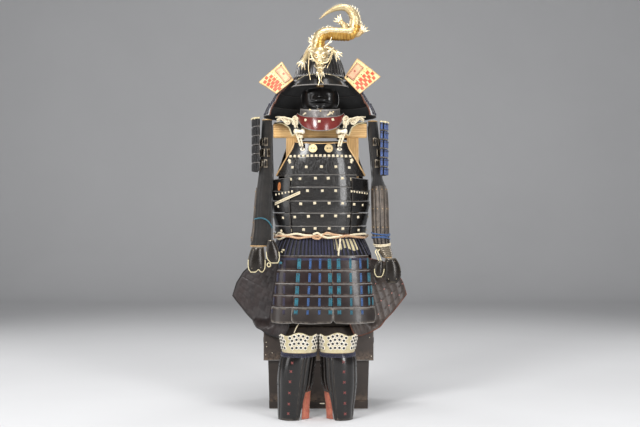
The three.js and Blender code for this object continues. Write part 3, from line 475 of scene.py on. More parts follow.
class Mat:
    def __init__(self, name, rough=0.5, metal=0.0, coat=0.0, coat_rough=0.1, sheen=0.0, spec=0.5):
        self.m = bpy.data.materials.new(name)
        self.m.use_nodes = True
        self.t = self.m.node_tree
        self.b = self.t.nodes["Principled BSDF"]
        self.b.inputs["Roughness"].default_value = rough
        self.b.inputs["Metallic"].default_value = metal
        self.b.inputs["Coat Weight"].default_value = coat
        self.b.inputs["Coat Roughness"].default_value = coat_rough
        self.b.inputs["Sheen Weight"].default_value = sheen
        self.b.inputs["Specular IOR Level"].default_value = spec
        self.height = None

    def node(self, kind, **props):
        n = self.t.nodes.new(kind)
        for k, v in props.items():
            setattr(n, k, v)
        return n

    def put(self, socket, value):
        if hasattr(value, "is_output"):
            self.t.links.new(value, socket)
        else:
            socket.default_value = value

    def coord(self, kind="Object", scale=(1, 1, 1), turn=0.0, shift=(0, 0, 0)):
        c = self.node("ShaderNodeTexCoord")
        m = self.node("ShaderNodeMapping")
        m.inputs["Scale"].default_value = scale
        m.inputs["Rotation"].default_value = (0, 0, turn)
        m.inputs["Location"].default_value = shift
        self.t.links.new(c.outputs[kind], m.inputs["Vector"])
        return m.outputs[0]

    def noise(self, vec, scale, detail=4, rough=0.6, distort=0.0):
        n = self.node("ShaderNodeTexNoise")
        self.put(n.inputs["Vector"], vec)
        n.inputs["Scale"].default_value = scale
        n.inputs["Detail"].default_value = detail
        n.inputs["Roughness"].default_value = rough
        n.inputs["Distortion"].default_value = distort
        return n.outputs["Fac"]

    def cells(self, vec, scale, feature="F1", out="Distance", spread=1.0):
        n = self.node("ShaderNodeTexVoronoi", feature=feature)
        self.put(n.inputs["Vector"], vec)
        n.inputs["Scale"].default_value = scale
        n.inputs["Randomness"].default_value = spread
        return n.outputs[out]

    def wave(self, vec, scale, distort=0.0, detail=2, direction="X", profile="SIN"):
        n = self.node("ShaderNodeTexWave", bands_direction=direction, wave_profile=profile)
        self.put(n.inputs["Vector"], vec)
        n.inputs["Scale"].default_value = scale
        n.inputs["Distortion"].default_value = distort
        n.inputs["Detail"].default_value = detail
        return n.outputs["Fac"]

    def remap(self, x, a, b, c=0.0, d=1.0):
        n = self.node("ShaderNodeMapRange")
        self.put(n.inputs["Value"], x)
        for i, q in enumerate((a, b, c, d)):
            n.inputs[i + 1].default_value = q
        return n.outputs[0]

    def maths(self, op, a, b=0.0):
        n = self.node("ShaderNodeMath", operation=op)
        self.put(n.inputs[0], a)
        self.put(n.inputs[1], b)
        return n.outputs[0]

    def mix(self, fac, a, b, mode="MIX"):
        n = self.node("ShaderNodeMix", data_type="RGBA", blend_type=mode)
        self.put(n.inputs[0], fac)
        self.put(n.inputs[6], a)
        self.put(n.inputs[7], b)
        return n.outputs[2]

    def colour(self, c):
        self.put(self.b.inputs["Base Color"], c)

    def rough(self, r):
        self.put(self.b.inputs["Roughness"], r)

    def bump(self, height, dist, strength=1.0):
        n = self.node("ShaderNodeBump")
        n.inputs["Strength"].default_value = strength
        n.inputs["Distance"].default_value = dist
        self.put(n.inputs["Height"], height)
        if self.height is not None:
            self.t.links.new(self.height, n.inputs["Normal"])
        self.height = n.outputs["Normal"]
        self.t.links.new(self.height, self.b.inputs["Normal"])
        return self

    def edges(self):
        """How convex the surface is: for edge wear, for the painted highlight on the gilt's ridges and for painted
        shade in hollows.
        """
        return self.node("ShaderNodeNewGeometry").outputs["Pointiness"]


def lacquer(name, base, dust, rough=(0.22, 0.42), coat=0.5, crackle=0.0, wear=None, grain=0.25, coat_rough=0.12):
    m = Mat(name, coat=coat * 0.6, coat_rough=coat_rough, spec=0.36)
    o = m.coord("Object")
    big, fine = m.noise(o, 9, 5), m.noise(o, 160, 3)
    c = m.mix(m.remap(big, 0.42, 0.75), base, dust)
    if crackle:
        u = m.coord("Object", (1.0, 1.0, 0.8))
        lines = m.cells(u, 230, "DISTANCE_TO_EDGE", spread=0.75)
        coarse = m.cells(u, 62, "DISTANCE_TO_EDGE", spread=0.8)
        crack = m.remap(lines, 0.0, 0.09)
        crack2 = m.remap(coarse, 0.0, 0.05)
        c = m.mix(crack, m.mix(0.4, c, rgb(66, 60, 54)), c)
        m.bump(crack, 0.0004, crackle)
        m.bump(crack2, 0.0007, crackle)
    if wear is not None:
        e = m.remap(m.edges(), 0.53, 0.62)
        c = m.mix(m.maths("MULTIPLY", e, m.remap(m.noise(o, 70, 4), 0.4, 0.6)), c, wear)
    m.colour(c)
    m.rough(m.remap(m.noise(o, 26, 6, 0.7), 0.3, 0.72, rough[0], rough[1]))
    m.bump(fine, 0.0003, grain)
    m.bump(big, 0.0030, 0.25)
    return m.m


def lace(name, base, dark, light, turns=900.0, rough=0.75):
    """Braided silk: fine slanting strands over the strip's own length."""
    m = Mat(name, rough=rough, sheen=0.25)
    a = m.wave(m.coord("UV", (1, 1, 1), 0.7), turns / 6.0, 1.0)
    b = m.wave(m.coord("UV", (1, 1, 1), -0.7), turns / 6.0, 1.0)
    weave = m.maths("MULTIPLY", a, b)
    patches = m.noise(m.coord("Object"), 45, 5, 0.65)
    c = m.mix(m.remap(patches, 0.35, 0.7), base, light)
    # painted shade: darker in the grooves between the strands
    c = m.mix(m.remap(weave, 0.0, 0.45, 0.75, 0.0), c, dark)
    m.colour(c)
    m.bump(weave, 0.0006, 0.8)
    return m.m


def rope(name, base, dark, light, strands=420.0, rough=0.85):
    m = Mat(name, rough=rough, sheen=0.15)
    w = m.wave(m.coord("UV", (1, 1, 1), 0.62), strands / 6.0, 0.8)
    n = m.noise(m.coord("Object"), 60, 5, 0.7)
    c = m.mix(m.remap(n, 0.35, 0.72), base, light)
    # painted shade: darker in the grooves between the strands
    m.colour(m.mix(m.remap(w, 0.0, 0.35, 0.8, 0.0), c, dark))
    m.bump(w, 0.0006, 0.7)
    m.bump(m.noise(m.coord("Object"), 900, 3), 0.0003, 0.5)
    return m.m


def weave(name, base, dark, light, pitch=620.0, rough=0.92, bump=0.8, sheen=0.2, blotch=18.0, stain=None):
    """Plain woven hemp: threads both ways in the cloth's own directions."""
    m = Mat(name, rough=rough, sheen=sheen)
    uv = m.coord("UV")
    a = m.wave(uv, pitch / 6.0, 0.6, direction="X")
    b = m.wave(uv, pitch / 6.0, 0.6, direction="Y")
    threads = m.maths("MAXIMUM", a, b)
    n = m.noise(m.coord("Object"), blotch, 6, 0.65)
    c = m.mix(m.remap(n, 0.38, 0.68), base, light)
    # painted shade: darker in the gaps between the threads
    c = m.mix(m.remap(m.maths("MULTIPLY", a, b), 0.0, 0.5, 0.7, 0.0), c, dark)
    if stain is not None:
        c = m.mix(m.remap(m.noise(m.coord("Object", shift=(3, 1, 2)), 26, 4), 0.55, 0.75, 0.0, 0.8), c, stain)
    m.colour(c)
    m.bump(threads, 0.0006, bump)
    m.bump(m.noise(m.coord("Object"), 240, 4), 0.0006, 0.5)
    return m.m


def leather(name, base, dark, light, rough=0.5, grain=420.0, bump=0.35, coat=0.1):
    m = Mat(name, rough=rough, coat=coat, coat_rough=0.3, spec=0.3)
    o = m.coord("Object")
    n = m.noise(o, 22, 6, 0.65)
    pores = m.cells(o, grain, "DISTANCE_TO_EDGE")
    c = m.mix(m.remap(n, 0.36, 0.66), base, light)
    c = m.mix(m.remap(m.noise(o, 75, 5, 0.7), 0.52, 0.72, 0.0, 0.75), c, dark)
    m.colour(c)
    m.rough(m.remap(n, 0.3, 0.7, rough - 0.1, rough + 0.12))
    m.bump(m.remap(pores, 0, 0.3), 0.0004, bump)
    return m.m


def wood(name, base, dark, light, rough=0.5, along="Z", coat=0.15):
    scale = {"X": (6, 60, 60), "Z": (60, 60, 6)}[along]
    m = Mat(name, rough=rough, coat=coat, coat_rough=0.3)
    v = m.coord("Object", scale)
    rings = m.wave(m.coord("Object", tuple(s * 0.5 for s in scale)), 1.1, 5.0, 4, "X" if along == "Z" else "Z")
    streak = m.noise(v, 1.5, 8, 0.7, 0.6)
    c = m.mix(rings, base, light)
    m.colour(m.mix(m.remap(streak, 0.48, 0.7), c, dark))
    m.rough(m.remap(streak, 0.3, 0.7, rough - 0.08, rough + 0.12))
    m.bump(streak, 0.0006, 0.35)
    return m.m


def metal(name, base, dark, rough=(0.25, 0.45), metallic=1.0, hammer=0.0, wear=None, painted_hollow_shade=None):
    m = Mat(name, metal=metallic)
    o = m.coord("Object")
    n = m.noise(o, 38, 6, 0.7)
    c = m.mix(m.remap(n, 0.4, 0.7), base, dark)
    # painted shade: concave hollows are darkened towards the given colour
    if painted_hollow_shade is not None:
        c = m.mix(m.remap(m.edges(), 0.42, 0.5, 0.9, 0.0), c, painted_hollow_shade)
    # edge colour: wear on the other metals, but on the gilt a near-white painted highlight along its ridges
    if wear is not None:
        c = m.mix(m.remap(m.edges(), 0.52, 0.6), c, wear)
    m.colour(c)
    m.rough(m.remap(n, 0.3, 0.7, rough[0], rough[1]))
    m.bump(m.noise(o, 500, 4), 0.0002, 0.3)
    if hammer:
        m.bump(m.noise(o, 70, 3), 0.0012, hammer)
    return m.m


M = {
    "black": lacquer("black_lacquer", rgb(15, 14, 14), rgb(26, 23, 22), (0.2, 0.38), 0.5, grain=0.2, wear=rgb(80, 72, 64)),
    "crackle": lacquer("crackled_lacquer", rgb(15, 14, 14), rgb(28, 25, 23), (0.16, 0.3), 0.6, crackle=0.55, wear=rgb(120, 112, 100), coat_rough=0.08),
    # darker copy of the black lacquer for inner faces and back rims: painted shade
    "inside": lacquer("painted_shade_black_lacquer", rgb(6, 6, 6), rgb(10, 9, 9), (0.42, 0.6), 0.1),
    "mask": lacquer("mask_lacquer", rgb(13, 12, 12), rgb(26, 24, 23), (0.27, 0.38), 0.35),
    # dimmer rim colour for the shin splints and the neck guard's lower rim: wear with a painted highlight
    "shin_edge": lacquer("dim_rim_wear_with_painted_highlight", rgb(58, 52, 48), rgb(40, 36, 34), (0.34, 0.5), 0.2),
    # pale rim colour along the lame top edges and rims: wear, and a painted highlight of the lit edges
    "edge": lacquer("pale_rim_wear_and_painted_highlight", rgb(128, 124, 120), rgb(84, 80, 76), (0.3, 0.45), 0.3),
    "brown": lacquer("brown_lacquer", rgb(33, 26, 24), rgb(46, 36, 33), (0.3, 0.5), 0.3, wear=rgb(110, 96, 84), grain=0.5),
    "maroon_tint": lacquer("maroon_tinted_lacquer", rgb(27, 17, 17), rgb(40, 25, 24), (0.28, 0.45), 0.35, wear=rgb(100, 84, 74), grain=0.5),
    "dim": lacquer("grey_brown_lacquer", rgb(42, 36, 34), rgb(56, 49, 45), (0.34, 0.52), 0.25, wear=rgb(130, 120, 108), grain=0.5),
    "shin": lacquer("shin_lacquer", rgb(14, 12, 11), rgb(24, 20, 18), (0.16, 0.3), 0.6, wear=rgb(96, 88, 80)),
    "chest": lacquer("chest_lacquer", rgb(44, 37, 33), rgb(60, 50, 43), (0.36, 0.55), 0.2, wear=rgb(110, 92, 76), grain=0.6),
    "iron": metal("grained_iron", rgb(64, 62, 62), rgb(26, 25, 25), (0.32, 0.5), 0.55, 0.3, wear=rgb(190, 188, 186)),
    "throat": metal("grained_throat_iron", rgb(122, 118, 116), rgb(70, 64, 64), (0.38, 0.55), 0.5, 0.8, wear=rgb(200, 196, 190)),
    "red": lacquer("red_lacquer", rgb(112, 44, 40), rgb(84, 30, 28), (0.16, 0.3), 0.6, grain=0.15, wear=rgb(190, 120, 96)),
    # gilt and gilt belly: the dark hollow colour is painted shade; the gilt's near-white edge colour is a painted
    # highlight, not wear
    "gilt": metal("gilt", rgb(209, 191, 149), rgb(173, 140, 90), (0.28, 0.46), 0.7, 0.35, wear=rgb(255, 246, 220), painted_hollow_shade=rgb(70, 44, 14)),
    "amber": metal("gilt_belly", rgb(199, 158, 81), rgb(162, 116, 48), (0.3, 0.46), 0.7, painted_hollow_shade=rgb(84, 50, 14)),
    "brass": metal("brass_washer", rgb(226, 198, 138), rgb(186, 150, 90), (0.25, 0.45), 0.6, wear=rgb(250, 232, 190)),
    "bronze": metal("bronzed_iron", rgb(41, 36, 31), rgb(22, 19, 17), (0.2, 0.34), 0.4, 0.35, wear=rgb(150, 138, 120)),
    "pine": wood("pine", rgb(206, 160, 98), rgb(160, 112, 58), rgb(226, 186, 126), 0.42, "Z"),
    "pine_bar": wood("pine_bar", rgb(206, 160, 98), rgb(164, 116, 62), rgb(228, 190, 130), 0.42, "X"),
    "cloth": weave("black_hemp", rgb(24, 22, 22), rgb(10, 9, 9), rgb(44, 41, 40), 900),
    "sleeve_cloth": weave("sleeve_hemp", rgb(24, 22, 20), rgb(8, 7, 7), rgb(50, 45, 41), 520, bump=1.0, blotch=30),
    "cream_cloth": weave("cream_hemp", rgb(212, 200, 160), rgb(158, 142, 100), rgb(230, 220, 188), 700, sheen=0.3, stain=rgb(150, 138, 104)),
    "cream": rope("cream_cord", rgb(222, 208, 176), rgb(166, 142, 104), rgb(242, 232, 206), 560),
    "tan": rope("tan_cord", rgb(190, 146, 108), rgb(120, 84, 56), rgb(224, 190, 156), 420),
    "belt": weave("brown_belt", rgb(83, 52, 36), rgb(43, 25, 18), rgb(120, 80, 56), 800),
    "piping": leather("tan_piping", rgb(190, 150, 98), rgb(150, 108, 62), rgb(214, 180, 130), 0.45),
    "cream_piping": leather("cream_piping", rgb(206, 192, 150), rgb(160, 142, 104), rgb(226, 216, 180), 0.6),
    "navy": lace("navy_lacing", rgb(30, 29, 58), rgb(10, 10, 20), rgb(44, 44, 84)),
    "purple": lace("purple_lacing", rgb(40, 32, 56), rgb(16, 12, 24), rgb(56, 46, 78)),
    "teal": lace("teal_lacing", rgb(26, 104, 124), rgb(8, 40, 52), rgb(46, 138, 156)),
    "blue": lace("blue_lacing", rgb(42, 84, 142), rgb(14, 32, 62), rgb(66, 116, 178)),
    "bright": lace("bright_blue_lacing", rgb(62, 88, 148), rgb(18, 28, 60), rgb(112, 138, 198)),
    "darklace": lace("dark_lacing", rgb(26, 25, 27), rgb(10, 10, 10), rgb(40, 38, 40)),
    "redlace": lace("red_ties", rgb(140, 58, 54), rgb(84, 30, 28), rgb(176, 86, 78)),
    "terracotta": leather("terracotta_leather", rgb(158, 88, 70), rgb(112, 58, 44), rgb(186, 112, 92), 0.5),
    "orange": leather("orange_leather", rgb(158, 92, 48), rgb(106, 56, 28), rgb(186, 118, 66), 0.5),
    "ground": leather("gilt_ground", rgb(226, 194, 132), rgb(196, 156, 92), rgb(240, 218, 170), 0.45, 500),
    "square": leather("vermilion_squares", rgb(206, 84, 56), rgb(176, 58, 38), rgb(222, 112, 80), 0.5, 500),
    "frame": leather("dark_frame", rgb(78, 44, 32), rgb(46, 26, 20), rgb(104, 62, 44), 0.5, 500),
    "pink": leather("rose_field", rgb(222, 160, 130), rgb(206, 120, 98), rgb(232, 196, 150), 0.5, 500),
    "green": leather("green_dots", rgb(92, 104, 62), rgb(60, 72, 42), rgb(120, 130, 84), 0.5, 500),
    "scale_l": leather("scaled_leather", rgb(33, 26, 26), rgb(19, 15, 16), rgb(48, 38, 36), 0.5, 500, 0.5, 0.25),
    "scale_r": leather("scaled_leather_grey", rgb(56, 48, 45), rgb(30, 25, 25), rgb(80, 70, 64), 0.5, 500, 0.5, 0.25),
    "splint": leather("sleeve_splint", rgb(58, 51, 46), rgb(32, 27, 25), rgb(98, 88, 78), 0.42, 600, 0.5, 0.2),
    "bone": leather("bone", rgb(232, 218, 190), rgb(196, 170, 130), rgb(244, 236, 216), 0.35, 700, 0.15, 0.3),
    "hexplate": leather("pale_plates", rgb(222, 214, 200), rgb(176, 162, 146), rgb(240, 236, 226), 0.5, 700, 0.3),
    "stud": leather("rose_studs", rgb(176, 112, 104), rgb(130, 74, 66), rgb(206, 146, 132), 0.5, 700),
    # near-black for holes, slits, nostrils and the gap behind the suspension lacing: painted shade; also the dragon's
    # pupils and the knee plates' dots
    "hole": lacquer("painted_hole_shade_and_dark_dots", rgb(10, 9, 9), rgb(16, 14, 14), (0.5, 0.7), 0.0),
}
M["cloth_soft"] = weave("soft_black_cloth", rgb(24, 22, 23), rgb(10, 9, 10), rgb(38, 35, 36), 700, sheen=0.35, bump=0.6)


# ------------------------------------------------------------------ cords (first, with the camera)


def cord_piece(name, points, radius, n, mats, slot, replaces=(), strands=3, turns=60):
    path = spline(points, n)
    g = Geo()
    tube(g, path, radius, 12, 0, twist=turns, lobes=strands, amp=0.2)
    o = g.make(name, mats, slot, replaces)
    return o


for side, s in (("left", -1), ("right", 1)):
    route = [(182, 100, 1203), (160, 92, 1212), (132, 88, 1204), (108, 80, 1200), (98, 74, 1180), (92, 66, 1150), (80, 50, 1120), (74, 48, 1094)]
    cord_piece("shoulder_cord_" + side + "_braid", [(s * x + 2, y, z) for x, y, z in route], 4.0, 90, [M["cream"]], "cream_cord",
               "shoulder_cord_" + side)
    pair = [(182, 92, 1208), (160, 85, 1218), (136, 80, 1213), (116, 72, 1206), (107, 66, 1183), (101, 58, 1150), (91, 46, 1120), (83, 44, 1095)]
    cord_piece("shoulder_cord_" + side + "_second_strand", [(s * x + 2, y, z) for x, y, z in pair], 4.0, 90, [M["cream"]], "cream_cord")
cord_piece("waist_cord_tail", [(84, 26, 712), (82, 22, 690), (78, 21, 665), (76, 22, 642)], 3.6, 40, [M["cream"]], "cream_cord",
           "waist_cord_end")


# ------------------------------------------------------------------ chest and stand

CHEST = dict(x=-6, front=66, depth=324, top=229, base=205, body=215, h=345, skirt=204)


def chest():
    cy = CHEST["front"] + CHEST["depth"] / 2
    g = Geo()
    # carcase: four leaning boards and the plinth with its seam
    hx0, hx1, hy0, hy1 = CHEST["base"], CHEST["body"], CHEST["depth"] / 2 - 22, CHEST["depth"] / 2 - 12

    def band(z0, z1, out, mat=0):
        rows = []
        zs = np.linspace(z1, z0, 8)
        for z in zs:
            t = z / 332
            a, b = lerp(hx0, hx1, t) + out, lerp(hy0, hy1, t) + out
            row, r = [], 5
            for sx, sy, q0 in ((-1, -1, 180), (1, -1, 270), (1, 1, 0), (-1, 1, 90)):
                for q in np.linspace(q0, q0 + 90, 5):
                    w = math.radians(q)
                    row.append((CHEST["x"] + sx * (a - r) + r * math.cos(w), cy + sy * (b - r) + r * math.sin(w), z))
            rows.append(row)
        R = np.array(rows)
        shell(g, R, 12.0, mat, loop=True)
    band(33.5, 331, 0)
    band(0.4, 32.5, 1.5)
    rounded_box(g, CHEST["x"] - 196, CHEST["x"] + 196, cy - 132, cy + 132, 2, 13, 1.5)
    # lid: four sides and the top, rounded at the edges
    a, b = CHEST["top"], CHEST["depth"] / 2
    prof = [(0, CHEST["skirt"]), (0, CHEST["skirt"] + 40), (0, 262), (0, 338), (-1.2, 342), (-4, 344.3), (-8, 345), (-60, 345), (-150, 345)]
    rows = []
    for inset, z in prof[::-1]:
        row = []
        for sx, sy, q0 in ((-1, -1, 180), (1, -1, 270), (1, 1, 0), (-1, 1, 90)):
            r = 7 if inset > -20 else 4
            for q in np.linspace(q0, q0 + 90, 5):
                w = math.radians(q)
                aa, bb = a + inset, b + max(inset, -140)
                row.append((CHEST["x"] + sx * (aa - r) + r * math.cos(w), cy + sy * (bb - r) + r * math.sin(w), z))
        rows.append(row)
    R = np.array(rows)
    shell(g, R, 9.5, 0, loop=True)
    rounded_box(g, CHEST["x"] - 88, CHEST["x"] + 88, cy - 30, cy + 30, 335.5, 345, 1.0)
    # lower edge moulding of the lid, pale along its arris: wear with a painted highlight
    for zz, rr in ((CHEST["skirt"] + 1.5, 1.4),):
        loop = []
        for sx, sy, q0 in ((-1, -1, 180), (1, -1, 270), (1, 1, 0), (-1, 1, 90)):
            for q in np.linspace(q0, q0 + 90, 5):
                w = math.radians(q)
                loop.append((CHEST["x"] + sx * (a - 7) + 6.6 * math.cos(w), cy + sy * (b - 7) + 6.6 * math.sin(w), zz))
        tube(g, np.array(loop), rr, 6, 1, closed=True)
    # small pull slot in the plinth and cord ears on the ends of the lid
    g2 = prism([(-9, -2.2), (9, -2.2), (11, 0), (9, 2.2), (-9, 2.2), (-11, 0)], 1.2, 0.5)
    place(g, g2, (CHEST["x"] + 15, cy - lerp(hy0, hy1, 18 / 332) - 1.6, 22), np.array([1, 0, 0]), np.array([0, 0, 1]), np.array([0, -1, 0]), 2)
    ear = prism([(-15, -20), (15, -20), (15, 20), (-15, 20)], 2.2, 1.0)
    for s in (-1, 1):
        for dy in (-70, 70):
            place(g, ear, (CHEST["x"] + s * a, cy + dy, 286), np.array([0, s, 0]), np.array([0, 0, 1]), np.array([s, 0, 0]), 3)
            ringp = [(CHEST["x"] + s * (a + 3.2), cy + dy + 11 * math.cos(q), 280 + 11 * math.sin(q)) for q in np.linspace(0, 2 * PI, 17)[:-1]]
            tube(g, np.array(ringp), 2.0, 8, 3, closed=True)
        mid = [(CHEST["x"] + s * (a + 3.2), cy - 59, 270), (CHEST["x"] + s * (a + 3.6), cy - 30, 258), (CHEST["x"] + s * (a + 3.6), cy, 253),
               (CHEST["x"] + s * (a + 3.6), cy + 30, 258), (CHEST["x"] + s * (a + 3.2), cy + 59, 270)]
        tube(g, spline(mid, 30), 3.0, 8, 4, twist=60, lobes=3)
    # nail heads and small knocks that show the pale wood
    for x, z in ((-224, 280), (-222, 262), (200, 330), (206, 300), (-199, 236), (214, 222), (-226, 228)):
        place(g, dome(1.7, 0.8, 2, 8), (x, CHEST["front"], z), np.array([1, 0, 0]), np.array([0, 0, 1]), np.array([0, -1, 0]), 2)
    return g.make("chest_panels", [M["chest"], M["edge"], M["bone"], M["black"], M["darklace"]], "chest_lacquer", ("chest_body", "chest_lid"))


chest()

deck = 345.3
g = Geo()
# the foot board takes the dark chest lacquer instead of pine: painted shade under the skirt panels
rounded_box(g, -179, 199, 75, 255, deck, deck + 20, 3)
g.make("stand_foot_board", [M["chest"]], "chest_lacquer", "stand_base")
for nm, x in (("stand_post_left", -119), ("stand_post_right", 139)):
    g = Geo()
    rounded_box(g, x - 25, x + 25, 152, 178, deck + 20.3, 1136.7, 3)
    g.make(nm + "_timber", [M["pine"]], "pine", nm)
g = Geo()
rounded_box(g, -199, 199, 149, 181, 1137, 1196, 4)
g.make("stand_crossbar_timber", [M["pine_bar"]], "pine", "stand_crossbar")
g = Geo()
prof = [(0.5, 1503), (14, 1501.5), (28, 1495), (42, 1480), (51, 1461), (57, 1440), (58, 1420), (54, 1415), (41, 1411), (24, 1407), (15.5, 1403), (15, 1396), (15, 1300), (15, 1200), (15, 1196.6)]
th = np.arange(28) / 28 * 2 * PI
R = np.array([[(r * math.sin(t), 158 - r * math.cos(t), z) for t in th] for r, z in prof])
F, U = grid_faces(len(prof), 28, True), grid_uv(R, True)
g.add(R.reshape(-1, 3), F, 0, U)
c = len(prof) - 1
g.add(np.concatenate([R[0], [[0, 158, 1503]]]), np.stack([(np.arange(28) + 0), (np.arange(28) + 1) % 28, np.full(28, 28)], -1), 0)
g.add(np.concatenate([R[-1], [[0, 158, 1196.6]]]), np.stack([(np.arange(28) + 1) % 28, np.arange(28), np.full(28, 28)], -1), 0)
g.make("stand_head_block", [M["pine"]], "pine", "stand_head_pole")


# ------------------------------------------------------------------ cuirass

TORSO = [(1130, 146, 100), (1114, 150, 104), (1044, 176, 118), (968, 192, 128), (927, 197, 131), (870, 199, 132), (820, 195, 130), (765, 187, 127), (715, 181, 123)]
ARM = [(1120, 54, 128), (1090, 55, 126), (1050, 61, 120), (1005, 69, 112), (975, 78, 104)]


def torso(deg, z, out=0.0):
    a, b = interp(TORSO, z, 1) + out, interp(TORSO, z, 2) + out
    x, y = ring(3, 165, a, b, 2.25, deg)
    return stack(x, y, z)


def torso_y(x, z, out=0.0):
    a, b = interp(TORSO, z, 1) + out, interp(TORSO, z, 2) + out
    q = min(0.9999, abs(x - 3) / a)
    return 165 - b * (1 - q**2.25) ** (1 / 2.25)


STEP, LAP = 2.9, 7.0
KNOT = pillow(7, 7, 12.0, 11.0, 4.2, 3.0, ridge=0.42)
SMALL_KNOT = pillow(5, 5, 8.0, 9.0, 3.6, 3.0, ridge=0.4)


def knot_at(g, x, z, out, shape=KNOT, mat=0, tilt=0.0, scale=1.0):
    y = torso_y(x, z, out)
    deg = math.degrees(math.atan2(x - 3, 165 - y))
    p, X, Y, Z = ground(lambda a, b: torso(a, b, out), deg, z)
    c, s = math.cos(tilt), math.sin(tilt)
    place(g, shape, p, X * c + Y * s, Y * c - X * s, Z, mat, scale)


def rim_wire(g, path, r, mat=1, closed=False):
    tube(g, path, r, 6, mat, closed=closed)


def lame_rows(z0, z1, out0, out1, lo, hi, nj=12, ni=70, droop=None):
    """One lame: its top edge is rolled in a little, its face bows slightly."""
    v = np.concatenate([[0, 0.02, 0.05], np.linspace(0.1, 0.97, nj - 4), [1.0]])
    rows = []
    for t in v:
        z = lerp(z0, z1, t)
        a, b = (lo(z), hi(z)) if callable(lo) else (lo, hi)
        deg = np.linspace(a, b, ni)
        roll = -0.9 * (1 - min(1, t / 0.05)) ** 2
        zz = np.full(ni, z) if droop is None else z + droop(deg, t)
        rows.append(torso(deg, zz, lerp(out0, out1, t) + 0.5 * math.sin(t * PI) + roll))
    return np.array(rows)


rng = np.random.RandomState(11)

# chest plate
g = Geo()
v = np.linspace(0, 1, 18)
rows = []
for t in v:
    edge = float(straight(ARM, lerp(1114, 1049, t), 1))
    deg = np.linspace(-edge, edge, 76)
    z = lerp(1114 - 7 * (1 - (deg / edge) ** 2), 1049, t)
    rows.append(torso(deg, z, STEP * (1 - t) * 0.6 - 0.4))
R = np.array(rows)
shell(g, R, 2.0, 0)
top = R[0] + [0, -1.0, 0.4]
rim_wire(g, spline(top[::3], 120), 2.1, 1)
# eyelet washers, each with two holes, and the bone ovals that the shoulder cords come out of
disc = [(18.0 * math.cos(q), 18.0 * math.sin(q)) for q in np.linspace(0, 2 * PI, 29)[:-1]]
for x in (-29.5, 36.1):
    z = 1086.8
    y = torso_y(x, z, 1.2)
    deg = math.degrees(math.atan2(x - 3, 165 - y))
    p, X, Y, Z = ground(lambda a, b: torso(a, b, 1.2), deg, z)
    place(g, prism(disc, 2.2, 1.2), p, X, Y, Z, 2)
    place(g, prism([(a * 0.8, b * 0.8) for a, b in disc], 2.9, 0.6), p, X, Y, Z, 2)
    # dark discs and slits on the washer: painted shade of its holes
    hole = [(2.6 * math.cos(q), 2.6 * math.sin(q)) for q in np.linspace(0, 2 * PI, 13)[:-1]]
    for s in (-1, 1):
        place(g, prism(hole, 3.3, 0.3), p + X * s * 6.2, X, Y, Z, 3)
        slit = [(-4.2, -0.8), (4.2, -0.8), (4.2, 0.8), (-4.2, 0.8)]
        place(g, prism(slit, 3.2, 0.3), p + X * s * 4.5, X, Y, Z, 3)
oval = [(11.0 * math.cos(q), 6.5 * math.sin(q)) for q in np.linspace(0, 2 * PI, 23)[:-1]]
for x in (-72.4, 80.7):
    z = 1083.5
    y = torso_y(x, z, 1.2)
    deg = math.degrees(math.atan2(x - 3, 165 - y))
    p, X, Y, Z = ground(lambda a, b: torso(a, b, 1.2), deg, z)
    place(g, prism(oval, 2.6, 1.4), p, X, Y, Z, 4)
    # dark centre of the oval: painted shade of its hole
    place(g, prism([(a * 0.45, b * 0.4) for a, b in oval], 3.4, 0.4), p, X, Y, Z, 3)
g.make("cuirass_chest_plate_lacquered", [M["black"], M["piping"], M["brass"], M["hole"], M["bone"]], "black_lacquer", "cuirass_chest_plate")

# armhole piping, down both edges of the chest plate and the first lame
g = Geo()
for s in (-1, 1):
    path = [torso(s * float(straight(ARM, z, 1)), z, 2.2) for z in np.linspace(1112, 976, 26)]
    tube(g, spline(path, 70), 2.9, 8, 0)
for s in (0, 1):
    back = [torso(s * 360 + (1 - 2 * s) * float(straight(ARM, z, 2)), z, 2.4) for z in np.linspace(1126, 1010, 16)]
    tube(g, spline(back, 44), 2.4, 8, 0)
g.make("armhole_piping", [M["piping"]], "tan_leather")

LAMES = [(1056, 979), (979, 928), (928, 870), (870, 820), (820, 765), (765, 723)]
for k, (z0, z1) in enumerate(LAMES):
    g = Geo()
    low = z1 if k == 5 else z1 - LAP
    if k == 0:
        lo, hi = (lambda z: -float(straight(ARM, z, 1))), (lambda z: float(straight(ARM, z, 1)))
    else:
        lo, hi = -58.8, 58.8
    R = lame_rows(z0, low, STEP, 0.0, lo, hi)
    shell(g, R, 1.9, 0)
    n = normals(R)
    rim_wire(g, R[2] + n[2] * 0.5, 1.0, 1)
    # stitched line of pinholes a little under the top edge, drawn as dark dashes: painted shade
    edge = R[3]
    for q in range(3, edge.shape[0] - 3, 2):
        place(g, prism([(-1.5, -0.5), (1.5, -0.5), (1.5, 0.5), (-1.5, 0.5)], 0.7, 0.2), edge[q], unit(edge[q + 1] - edge[q - 1]), np.array([0, 0, 1.0]), n[3][q], 2)
    g.make("cuirass_front_lame_%d_faced" % (k + 1), [M["crackle"], M["edge"], M["hole"]], "black_lacquer", "cuirass_front_lame_%d" % (k + 1))

